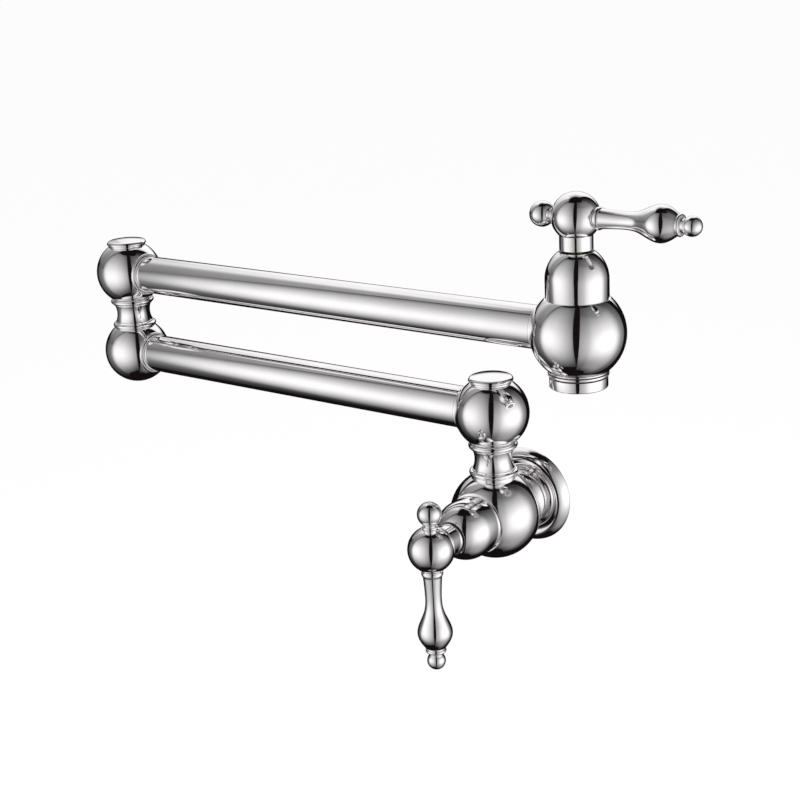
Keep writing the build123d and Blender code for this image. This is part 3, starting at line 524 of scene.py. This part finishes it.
def arm_tube(name, length, far_ball):
    """A tube along X, from the socket of a swivel ball to the socket of the far ball."""
    near, far = swivel_r - socket_depth, length - far_ball + socket_depth
    inner = tube_r - tube_wall
    wall = outline((inner, near), (tube_r, near), (tube_r, far), (inner, far), (inner, near))
    return lay_along_x(turn_on_lathe(name, wall, steps=144))


lower_tube = set_down(arm_tube("lower_arm_tube_chromed", lower_arm, swivel_r), at_wall_swivel, (-1, 0, 0))
upper_tube = set_down(arm_tube("upper_arm_tube_chromed", upper_arm, body_r), at_elbow_high)
hand_over(lower_tube, "lower_arm_tube", "lower_arm", tube_chrome)
hand_over(upper_tube, "upper_arm_tube", "upper_arm", tube_chrome)

# %% [markdown]
# ## The swivel balls
# A swivel ball is a casting: a ball with a bearing bore through it, a counterbore for its cap and a short lip
# round the tube's socket. A UV sphere would put its poles where the bores are, so the hollow ball is turned
# from one outline. The socket lies across the axis and is bored with a Boolean. The lip stands over its edge.

# %% The lip and the boring tool for a tube socket
lip_width, lip_length, lip_foot = 1.4, 1.3, 1.4
lip_round, round_sag = 0.6, 0.176


def tube_lip(name, ball):
    """The short ring that stands on a ball round its tube."""
    lip_r, root = tube_r + lip_width, ball_height(ball, tube_r + lip_width)
    foot, end = root - lip_foot, root + lip_length
    edge = (lip_r - round_sag, end - round_sag)
    ring = outline((tube_r + slip, foot), (lip_r, foot), (lip_r, end - lip_round),
                   (edge, (lip_r - lip_round, end)), (tube_r + slip, end), (tube_r + slip, foot), soft=0.12)
    return lay_along_x(turn_on_lathe(name, ring))


def socket_tool(ball):
    """A tool that bores the waterway and the tube's socket, and runs 2 mm past the ball."""
    socket_r, deep, past = tube_r + slip, ball - socket_depth, ball + 2
    line = [(0, 0), (waterway_r, 0), (waterway_r, deep), (socket_r, deep), (socket_r, past), (0, past)]
    return lay_along_x(turn_on_lathe("boring_tool", line))


# %% One swivel ball, and its copy on the wall swivel
stem_r, chamber_r, chamber = 7.0, 9.0, 5.4
cap_seat_r, cap_plug, headroom = 11.0, 1.4, 1.25
clip_groove, clip_shoulder, top_washer = 1.1, 0.8, 0.6
cap_seat = ball_height(swivel_r, cap_seat_r)
nose = cap_seat - cap_plug - headroom
clip_low = nose - clip_shoulder - clip_groove
bearing_r, bearing_top = stem_r + slip, clip_low - top_washer
ball_line = outline((bearing_r, -flat_height), (seat_r, -flat_height),
                    ((swivel_r, 0), (cap_seat_r, cap_seat)), (chamber_r, cap_seat), (chamber_r, bearing_top),
                    (bearing_r, bearing_top), (bearing_r, chamber), (chamber_r, chamber),
                    (chamber_r, -chamber), (bearing_r, -chamber), (bearing_r, -flat_height))
swivel_ball = turn_on_lathe("elbow_swivel_ball_chromed", ball_line)
cut_away(swivel_ball, socket_tool(swivel_r))
join(swivel_ball, tube_lip("lip", swivel_r))
wall_swivel_ball = set_down(copy_of(swivel_ball, "wall_swivel_ball_chromed"), at_wall_swivel, (-1, 0, 0))
set_down(swivel_ball, at_elbow_high)
hand_over(swivel_ball, "elbow_swivel_ball", "upper_arm", cast_chrome)
hand_over(wall_swivel_ball, "wall_swivel_ball", "lower_arm", cast_chrome)

# %% The closed ball under the elbow
tail_r, tail, stem_bore_r = 9.0, 8.5, 4.2
tail_hole_r, tail_hole = tail_r + slip, tail + slip
hole_floor = flat_height - tail_hole
base_line = outline((0, -swivel_r), ((swivel_r, 0), (seat_r, flat_height)), (tail_hole_r, flat_height),
                    (tail_hole_r, hole_floor), (stem_bore_r, hole_floor), (stem_bore_r, 0), (0, 0))
base_ball = turn_on_lathe("elbow_base_ball_chromed", base_line)
cut_away(base_ball, socket_tool(swivel_r))
join(base_ball, tube_lip("lip", swivel_r))
set_down(base_ball, at_elbow_low)
hand_over(base_ball, "elbow_base_ball", "lower_arm", cast_chrome)

# %% [markdown]
# ## Caps
# The button on each swivel ball is a turned cap: a small waist, a rim, a full round over it and a low crown.
# The round and the crown meet at one slope, so the mirror image runs over the join without a break.

# %% A cap and its copy
cap_waist_r, cap_rim_r, rim_rise, flare_rise = 10.8, 11.7, 1.65, 0.7
edge_r, crown_slope = 1.8, radians(12.5)
rim, plug_r, plug_end = cap_seat + rim_rise, chamber_r - slip, cap_seat - cap_plug
edge_centre_r = cap_rim_r - edge_r


def on_edge(tilt):
    """The point of the rim's round where it has this tilt."""
    return edge_centre_r + edge_r * sin(tilt), rim + edge_r * cos(tilt)


crown_start = on_edge(crown_slope)
crown_r = crown_start[0] / sin(crown_slope)
crown_low = crown_start[1] - crown_r * cos(crown_slope)
crown_mid = (crown_r * sin(crown_slope / 2), crown_low + crown_r * cos(crown_slope / 2))
cap_line = outline((0, plug_end), (plug_r, plug_end), (plug_r, cap_seat), (cap_waist_r, cap_seat),
                   ((cap_seat_r, cap_seat + flare_rise), (cap_rim_r, rim)),
                   (on_edge(pi / 4 + crown_slope / 2), crown_start),
                   (crown_mid, (0, crown_low + crown_r)), soft=0.1)
elbow_cap = turn_on_lathe("elbow_cap_chromed", cap_line)
wall_cap = set_down(copy_of(elbow_cap, "wall_swivel_cap_chromed"), at_wall_swivel)
set_down(elbow_cap, at_elbow_high)
hand_over(elbow_cap, "elbow_cap", "upper_arm", turned_chrome)
hand_over(wall_cap, "wall_swivel_cap", "lower_arm", turned_chrome)

# %% [markdown]
# ## Necks
# Under each swivel ball stands a turned neck: a bead, a small step, a slim hollow waist, a step and a bead
# again. It is one piece with the bearing stem above it and the threaded tail below, as on the lathe.

# %% The outline of a neck
bead, bead_r, bead_root_r = 2.9, 12.9, 11.7
step, step_r, cove_r, waist_r = 0.7, 11.4, 11.0, 9.9
bead_low, bead_high = neck_bottom + bead, neck_top - bead
waist, tail_end = (bead_low + bead_high) / 2, neck_bottom - tail
stem_line = [(stem_bore_r, tail_end), (tail_r, tail_end), (tail_r, neck_bottom), (bead_root_r, neck_bottom),
             ((bead_r, neck_bottom + bead / 2), (bead_root_r, bead_low)), (step_r, bead_low),
             (step_r, bead_low + step), (cove_r, bead_low + step),
             ((waist_r, waist), (cove_r, bead_high - step)),
             (step_r, bead_high - step), (step_r, bead_high), (bead_root_r, bead_high),
             ((bead_r, neck_top - bead / 2), (bead_root_r, neck_top)), (stem_r, neck_top)]
print("neck from", round(-neck_top, 2), "to", round(-neck_bottom, 2), "mm under the ball's middle")

# %% The stem above the neck, and its ports
seal_half, seal_groove_r, clip_groove_r, stem_bore_end = 1.2, 5.4, 6.1, 4.0
for seal in (-(chamber + flat_height) / 2, (chamber + bearing_top) / 2):
    stem_line += [(stem_r, seal - seal_half), (seal_groove_r, seal - seal_half),
                  (seal_groove_r, seal + seal_half), (stem_r, seal + seal_half)]
stem_line += [(stem_r, clip_low), (clip_groove_r, clip_low), (clip_groove_r, clip_low + clip_groove),
              (stem_r, clip_low + clip_groove), (stem_r, nose), (0, nose), (0, stem_bore_end),
              (stem_bore_r, stem_bore_end), (stem_bore_r, tail_end)]
elbow_stem = turn_on_lathe("elbow_stem_chromed", outline(*stem_line, soft=0.1))
port_r, past_stem = 2.6, 8
port = [(0, -past_stem), (port_r, -past_stem), (port_r, past_stem), (0, past_stem)]
for way in ((1, 0, 0), (0, 1, 0)):
    cut_away(elbow_stem, set_down(turn_on_lathe("drill", port, steps=48), (0, 0, 0), (0, 0, -1), way))
wall_stem = set_down(copy_of(elbow_stem, "wall_swivel_stem_chromed"), at_wall_swivel)
set_down(elbow_stem, at_elbow_high)
hand_over(elbow_stem, "elbow_stem", "lower_arm", turned_chrome)
hand_over(wall_stem, "wall_swivel_stem", "wall_valve", turned_chrome)

# %% [markdown]
# ## The valve castings
# The wall valve and the spout are the two big balls. Each is cast round a cavity for its quarter-turn
# cartridge: seat, barrel bore, water chamber and thread. The same cavity outline closes both castings.

# %% Heights of the valve
bonnet_seat_r, bonnet_neck_r, bonnet_neck = 16.1, 13.8, 4.5
outlet_r, outlet_ring, aerator_depth, seat_floor = 15.1, 2.6, 7.0, 5.0
barrel_r, barrel, water_chamber_r, chamber_slope = 9.25, 8.0, 12.2, 1.5
cartridge_thread_r, cartridge_thread = 10.45, 10.5
bonnet_seat = ball_height(body_r, bonnet_seat_r)
shoulder = bonnet_seat + bonnet_neck
outlet_flat = -ball_height(body_r, outlet_r)
outlet_end = outlet_flat - outlet_ring
valve_seat = outlet_end + aerator_depth + seat_floor
chamber_low, chamber_high = valve_seat + barrel, shoulder - cartridge_thread
neck_and_cavity = [(bonnet_neck_r, bonnet_seat), (bonnet_neck_r, shoulder), (cartridge_thread_r, shoulder),
                   (cartridge_thread_r, chamber_high), (water_chamber_r, chamber_high - chamber_slope),
                   (water_chamber_r, chamber_low + chamber_slope), (barrel_r, chamber_low),
                   (barrel_r, valve_seat), (waterway_r, valve_seat)]
print("cartridge shoulder", round(shoulder, 2), "mm from the ball's centre")

# %% The spout
aerator_thread_r, broken_edge = 12.0, 0.3
aerator_bore_r, bore_end = aerator_thread_r + slip, outlet_end + aerator_depth
ring_groove, groove_width, groove_slope, groove_r = outlet_end + 1.25, 0.6, 0.1, 14.5
spout_line = outline((aerator_bore_r, outlet_end), (outlet_r - broken_edge, outlet_end),
                     (outlet_r, outlet_end + broken_edge), (outlet_r, ring_groove),
                     (groove_r, ring_groove + groove_slope),
                     (groove_r, ring_groove + groove_width - groove_slope),
                     (outlet_r, ring_groove + groove_width), (outlet_r, outlet_flat),
                     ((body_r, 0), (bonnet_seat_r, bonnet_seat)), *neck_and_cavity, (waterway_r, bore_end),
                     (aerator_bore_r, bore_end), (aerator_bore_r, outlet_end))
spout = turn_on_lathe("spout_body_chromed", spout_line, steps=144)
cut_away(spout, socket_tool(body_r))
join(spout, tube_lip("lip", body_r))
# The outlet ring's groove is painted dark, as shade.
paint_groove_shade(spout, groove_r - 0.5, outlet_r - slip, ring_groove - 0.02, ring_groove + groove_width + 0.02)
set_down(spout, at_spout, (-1, 0, 0))
hand_over(spout, "spout_body", "upper_arm", cast_chrome)

# %% Where the wall valve's rear bead meets its ball
wall = -valve_to_wall
flange_seat, bead_x, bead_y, bead_round = wall + 5.6, 9.8, wall + 9.0, 6.0
reach = hypot(bead_x, bead_y)
along = (body_r**2 - bead_round**2 + reach**2) / (2 * reach)
aside = ball_height(body_r, along)
meet = ((along * bead_x - aside * bead_y) / reach, (along * bead_y + aside * bead_x) / reach)
print("bead and ball meet at radius", round(meet[0], 2), "mm")

# %% The wall valve
stub_r, stub_end, inlet_r, thread_end = 13.0, wall + 1.0, 10.5, wall + 14.0
pocket_r, pocket_end = 9.65, thread_end + 2.05
body_line = outline((inlet_r, stub_end), (stub_r - broken_edge, stub_end), (stub_r, stub_end + broken_edge),
                    (stub_r, flange_seat),
                    (bead_x + ball_height(bead_round, flange_seat - bead_y), flange_seat),
                    ((bead_x + bead_round, bead_y), meet), ((body_r, 0), (bonnet_seat_r, bonnet_seat)),
                    *neck_and_cavity, (waterway_r, pocket_end), (pocket_r, pocket_end),
                    (pocket_r, thread_end), (inlet_r, thread_end), (inlet_r, stub_end))
valve = turn_on_lathe("valve_body_chromed", body_line, steps=144)
boss_floor, past_ball = boss_height - tail_hole, 26
stem_hole = [(0, 0), (stem_bore_r, 0), (stem_bore_r, boss_floor), (tail_hole_r, boss_floor),
             (tail_hole_r, past_ball), (0, past_ball)]
cut_away(valve, lay_along_x(turn_on_lathe("drill", stem_hole), side=-1))
boss_line = outline((tail_hole_r, boss_floor), (seat_r, boss_floor), (seat_r, boss_height),
                    (tail_hole_r, boss_height), (tail_hole_r, boss_floor))
join(valve, lay_along_x(turn_on_lathe("boss", boss_line), side=-1))
set_down(valve, at_valve, valve_x, valve_z)
hand_over(valve, "valve_body", "wall_valve", cast_chrome)

# %% [markdown]
# ## The inlet thread
# The tap screws onto a half-inch nipple in the wall, so the inlet bore carries a female pipe thread. A stack
# of rings would look alike, but a real thread climbs, so one ridge is drawn and the Screw modifier winds it.

# %% One ridge wound into a thread
pitch, turns, ridge_foot_r, ridge_top_r = 1.814, 6, 10.6, 9.35
foot_half, top_half, thread_start = 0.8, 0.2, wall + 2.4
ridge = [(ridge_foot_r, -foot_half), (ridge_top_r, -top_half), (ridge_top_r, top_half),
         (ridge_foot_r, foot_half), (ridge_foot_r, -foot_half)]
ridge = [(radius * MM, 0, (thread_start + height) * MM) for radius, height in ridge]
thread = start_point("inlet_thread_ridge", ridge[0])
draw_line(ridge)
bpy.ops.mesh.select_all(action="SELECT")
bpy.ops.mesh.remove_doubles(threshold=merge_gap)
bpy.ops.object.mode_set(mode="OBJECT")
wind = thread.modifiers.new("wind", "SCREW")
wind.angle, wind.screw_offset, wind.iterations = 2 * pi, pitch * MM, turns
wind.steps = wind.render_steps = 72
bpy.ops.object.modifier_apply(modifier=wind.name)

# %% Closing the two ends of the thread
bpy.ops.object.mode_set(mode="EDIT")
bpy.ops.mesh.select_all(action="DESELECT")
bpy.ops.mesh.select_non_manifold(extend=False, use_wire=False, use_multi_face=False, use_non_contiguous=False,
                                 use_verts=False)
bpy.ops.mesh.fill()
close_skin()
set_down(thread, at_valve, valve_x, valve_z)
thread.data.materials.append(bare_brass)
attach(thread, "wall_valve")
print("thread of", turns, "turns,", len(thread.data.polygons), "faces")

# %% [markdown]
# ## Wall flange
# The flange hides the hole in the wall. It has a tall rounded rim, a fine groove and a hollow face that runs
# in under the valve's rear bead. Behind, it is recessed, with a groove for its gasket.

# %% Flange
flange_r, flange_bore_r, flange_back, flange_web = 26.0, 13.15, 0.5, 5.6
recess_r, recess_floor, recess_slope = 18.55, 3.5, 1.2
gasket_low_r, gasket_high_r, gasket_floor = 19.75, 24.65, 1.6
face_groove = [(22.5, 5.3), (21.7, 5.3), (21.7, 6.7)]
hollow_face = ((19.3, 6.5), (16.4, flange_web))
rim_foot, rim_crest, rim_bulge = (flange_r, 1.2), (22.6, 6.4), 0.53
rim_chord = Vector(rim_crest) - Vector(rim_foot)
rim_mid = Vector(rim_foot) + rim_chord / 2 + rim_bulge * Vector((rim_chord.y, -rim_chord.x)).normalized()
flange_line = outline((flange_bore_r, recess_floor), (recess_r - recess_slope, recess_floor),
                      (recess_r, recess_floor - recess_slope), (recess_r, flange_back),
                      (gasket_low_r, flange_back), (gasket_low_r, gasket_floor),
                      (gasket_high_r, gasket_floor), (gasket_high_r, flange_back),
                      (flange_r - broken_edge, flange_back),
                      (flange_r, flange_back + broken_edge), rim_foot, (tuple(rim_mid), rim_crest),
                      *face_groove, hollow_face, (flange_bore_r, flange_web), (flange_bore_r, recess_floor),
                      soft=0.12)
flange = turn_on_lathe("wall_flange_chromed", flange_line, steps=160)
# The flange's fine groove is painted dark, as shade.
paint_groove_shade(flange, 21.6, 22.6, 5.0, 6.35)
set_down(flange, (0, 0, 0), valve_x, valve_z)
hand_over(flange, "wall_flange", "wall_valve", turned_chrome)

# %% [markdown]
# ## Bonnets
# A thin dome screws over each cartridge: a short straight side, then a curve that closes in on the handle.

# %% A bonnet and its copy
bonnet_r, bonnet_side, bonnet_wall, dome_r = 15.6, 9.5, 1.8, 16.7
collar_r, top_flat_r, under_top_r, spindle_hole_r = 8.2, 8.8, 6.4, 4.25
side_top, dome_x, under_dome_r = bonnet_seat + bonnet_side, bonnet_r - dome_r, dome_r - bonnet_wall


def dome_height(dome, radius):
    """How high a dome has risen where it has closed in to this radius."""
    return side_top + sqrt(dome**2 - (radius - dome_x)**2)


def on_dome(radius, angle=28):
    """A point halfway up the dome, for its arc."""
    return (dome_x + radius * cos(radians(angle)), side_top + radius * sin(radians(angle)))


bonnet_top, under_top = dome_height(dome_r, collar_r), dome_height(under_dome_r, under_top_r)
top_flat = dome_height(dome_r, top_flat_r)
bonnet_bore_r = bonnet_neck_r + slip
bonnet_line = outline((bonnet_bore_r, bonnet_seat), (bonnet_r, bonnet_seat), (bonnet_r, side_top),
                      (on_dome(dome_r), (top_flat_r, top_flat)), (spindle_hole_r, top_flat),
                      (spindle_hole_r, under_top), (under_top_r, under_top),
                      (on_dome(under_dome_r), (bonnet_r - bonnet_wall, side_top)),
                      (bonnet_r - bonnet_wall, shoulder), (bonnet_bore_r, shoulder),
                      (bonnet_bore_r, bonnet_seat), soft=0.07)
spout_bonnet = turn_on_lathe("spout_valve_bonnet_chromed", bonnet_line)
# The flat ring round the collar is painted dark, as shade in the gap under the handle.
paint_groove_shade(spout_bonnet, 4.0, 8.75, top_flat - 0.1, top_flat + 0.1)
wall_bonnet = set_down(copy_of(spout_bonnet, "wall_valve_bonnet_chromed"), at_valve, valve_x, valve_z)
set_down(spout_bonnet, at_spout)
hand_over(spout_bonnet, "spout_valve_bonnet", "upper_arm", turned_chrome)
hand_over(wall_bonnet, "wall_valve_bonnet", "wall_valve", turned_chrome)

# %% [markdown]
# ## Handles
# A handle is a ball hub on a collar, a baluster lever on one side and a small ball finial on the other.
# The lever's belly is one flowing curve, so its radius is read off a smooth line through measured points.

# %% Outline of the hub
hub_r, collar, collar_edge, shadow_gap = 12.0, 7.3, 0.4, 0.3
spindle_r, spindle_past_hub = 3.99, 4.05
collar_low, hub_rise = bonnet_top + shadow_gap, ball_height(hub_r, collar_r)
hub_height = collar_low + collar + hub_rise
spindle_end = hub_height - spindle_past_hub
hub_line = outline((spindle_r, collar_low), (collar_r - collar_edge, collar_low),
                   (collar_r, collar_low + collar_edge), (collar_r, hub_height - hub_rise),
                   ((hub_r, hub_height), (0, hub_height + hub_r)), (0, spindle_end), (spindle_r, spindle_end),
                   (spindle_r, collar_low), soft=0.12)
print("hub", round(hub_height, 2), "mm from the ball's centre")

# %% Hub with its sockets
hub_flat, spigot_r, spigot = 11.2, 2.9, 5.4
screw_r, screw_depth, screw_rise = 2.0, 2.0, 4.0
spot_face_r, past_hub, past_collar = 8, 14, 10


def handle_hub(name, screw_side):
    """A hub with a socket and a flat for the lever and the finial, and a hole for the grub screw."""
    hub = turn_on_lathe(name, hub_line)
    socket_r, socket_floor, hole_r = spigot_r + slip, hub_flat - spigot - slip, screw_r + slip
    for side in (1, -1):
        bore = [(0, socket_floor), (socket_r, socket_floor), (socket_r, hub_flat), (spot_face_r, hub_flat),
                (spot_face_r, past_hub), (0, past_hub)]
        cut_away(hub, lay_along_x(turn_on_lathe("drill", bore, steps=96), hub_height, side))
    hole = [(0, screw_depth), (hole_r, screw_depth), (hole_r, past_collar), (0, past_collar)]
    drill = turn_on_lathe("drill", hole, steps=64)
    return cut_away(hub, set_down(drill, (0, 0, collar_low + screw_rise), (1, 0, 0), (0, screw_side, 0)))


spout_hub = set_down(handle_hub("spout_valve_handle_hub_chromed", 1), at_spout)
wall_hub = set_down(handle_hub("wall_valve_handle_hub_chromed", -1), at_valve, valve_x, valve_z)
hand_over(spout_hub, "spout_valve_handle_hub", "spout_handle", turned_chrome)
hand_over(wall_hub, "wall_valve_handle_hub", "wall_handle", turned_chrome)

# %% A smooth line through measured points
def bends_through(values, gaps):
    """The second derivatives of a natural cubic spline, solved from its row of equations."""
    n = len(values)
    rows = [[0.0] * (n + 1) for _ in range(n)]
    rows[0][0] = rows[-1][n - 1] = 1.0
    for i in range(1, n - 1):
        before, after = gaps[i - 1], gaps[i]
        rows[i][i - 1:i + 2] = [before, 2 * (before + after), after]
        rows[i][n] = 6 * ((values[i + 1] - values[i]) / after - (values[i] - values[i - 1]) / before)
    for i in range(1, n):
        factor = rows[i][i - 1] / rows[i - 1][i - 1]
        rows[i] = [v - factor * u for u, v in zip(rows[i - 1], rows[i])]
    bends = [0.0] * n
    for i in range(n - 1, -1, -1):
        above = rows[i][i + 1] * bends[i + 1] if i < n - 1 else 0.0
        bends[i] = (rows[i][n] - above) / rows[i][i]
    return bends


def flowing(points, count=36):
    """Natural cubic spline through (radius, height) points, as a list of points."""
    gaps = [hypot(b[0] - a[0], b[1] - a[1]) for a, b in zip(points, points[1:])]
    tracks = [(values, bends_through(values, gaps)) for values in zip(*points)]
    line = []
    for i, gap in enumerate(gaps):
        steps = max(3, round(count * gap / sum(gaps)))
        for j in range(1, steps + 1):
            t = gap * j / steps
            left, spot = gap - t, []
            for values, bends in tracks:
                p0, p1, m0, m1 = *values[i:i + 2], *bends[i:i + 2]
                spot.append(m0 * left**3 / (6 * gap) + m1 * t**3 / (6 * gap)
                            + (p0 / gap - m0 * gap / 6) * left + (p1 / gap - m1 * gap / 6) * t)
            line.append(tuple(spot))
    return line


# %% Outline of the lever
hub_end = hub_flat - spigot
foot_r, bead_rise, lever_bead_r = 4.9, 3.2, 5.6
bead_end, lever_end, tip_ring, tip_ring_r, ring_root_r = hub_flat + bead_rise, 54.4, 1.9, 5.35, 4.7
ring_end = lever_end + tip_ring
tip_r, tip_neck_r, tip_centre = 4.8, 3.6, 61.2
tip_meets = tip_centre - ball_height(tip_r, tip_neck_r)
belly = flowing([(foot_r, bead_end), (4.25, 24.5), (5.15, 34.0), (9.0, 46.2), (ring_root_r, lever_end)])
lever_line = outline((0, hub_end), (spigot_r, hub_end), (spigot_r, hub_flat), (foot_r, hub_flat),
                     ((lever_bead_r, hub_flat + bead_rise / 2), (foot_r, bead_end)), *belly,
                     ((tip_ring_r, lever_end + tip_ring / 2), (ring_root_r, ring_end)),
                     (tip_neck_r, ring_end), (tip_neck_r, tip_meets),
                     ((tip_r, tip_centre), (0, tip_centre + tip_r)), soft=0.08)
print("lever reaches", tip_centre + tip_r, "mm from the hub's centre")

# %% Lever and finial
finial_r, finial_neck_r, finial_centre = 6.3, 3.0, 18.8
finial_foot_r, finial_bead_r, finial_bead = 3.7, 4.1, 1.6
finial_line = outline((0, hub_end), (spigot_r, hub_end), (spigot_r, hub_flat), (finial_foot_r, hub_flat),
                      ((finial_bead_r, hub_flat + finial_bead / 2), (finial_neck_r, hub_flat + finial_bead)),
                      (finial_neck_r, finial_centre - ball_height(finial_r, finial_neck_r)),
                      ((finial_r, finial_centre), (0, finial_centre + finial_r)), soft=0.08)
spout_lever = lay_along_x(turn_on_lathe("spout_valve_lever_chromed", lever_line, steps=96), hub_height)
spout_finial = lay_along_x(turn_on_lathe("spout_valve_finial_chromed", finial_line, steps=96), hub_height, -1)
wall_lever = set_down(copy_of(spout_lever, "wall_valve_lever_chromed"), at_valve, valve_x, valve_z)
wall_finial = set_down(copy_of(spout_finial, "wall_valve_finial_chromed"), at_valve, valve_x, valve_z)
set_down(spout_lever, at_spout)
set_down(spout_finial, at_spout)
for piece, node, body in ((spout_lever, "spout_valve_lever", "spout_handle"),
                          (spout_finial, "spout_valve_finial", "spout_handle"),
                          (wall_lever, "wall_valve_lever", "wall_handle"),
                          (wall_finial, "wall_valve_finial", "wall_handle")):
    hand_over(piece, node, body, turned_chrome)

# %% [markdown]
# ## Outlet
# A chromed ring screws up into the spout and holds the aerator, the plastic honeycomb that calms the water.

# %% Aerator housing
mouth, mouth_r, mouth_lip, top = outlet_end - 6.0, 9.6, 1.0, outlet_end + 5.2
housing_r, housing_bore_r, housing_edge = 14.5, 10.65, 0.4
housing_groove_r, shoulder_low, groove_low = 13.6, outlet_end - 0.7, outlet_end - 0.6
housing_line = outline((housing_bore_r, top), (housing_bore_r, mouth + mouth_lip),
                       (mouth_r, mouth + mouth_lip), (mouth_r, mouth), (housing_r - housing_edge, mouth),
                       (housing_r, mouth + housing_edge), (housing_r, shoulder_low),
                       (housing_groove_r, groove_low), (housing_groove_r, outlet_end),
                       (aerator_thread_r, outlet_end), (aerator_thread_r, top), (housing_bore_r, top),
                       soft=0.12)
housing = turn_on_lathe("aerator_housing_chromed", housing_line)
# The housing's groove under the spout is painted dark, as shade.
paint_groove_shade(housing, 12.5, 14.4, shoulder_low - 0.02, outlet_end + 0.1)
set_down(housing, at_spout)
hand_over(housing, "aerator_housing", "upper_arm", turned_chrome)

# %% [markdown]
# ## Small parts that stay as they are
# Washers, rings, discs and cartridges are simple machined shapes, and the frame's own solids are right for
# them. They only need their finish, so the material goes into their slots.

# %% Finishes for the small parts
small_parts = {"inlet_washer": black_rubber, "wall_gasket": black_rubber, "aerator_washer": black_rubber,
               "aerator_insert": aerator_plastic}
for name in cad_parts:
    if name.endswith(("seat_seal", "o_rings", "spindle_seal")):
        small_parts[name] = black_rubber
    elif name.endswith("disc"):
        small_parts[name] = ceramic
    elif name.endswith(("thrust_washer", "top_washer")):
        small_parts[name] = bearing_plastic
    elif name.endswith(("retaining_ring", "grub_screw")):
        small_parts[name] = spring_steel
    elif name.endswith(("cartridge_housing", "spindle")):
        small_parts[name] = bare_brass
for name, material in small_parts.items():
    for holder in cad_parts[name].material_slots:
        holder.material = material
print(len(small_parts), "small parts finished")
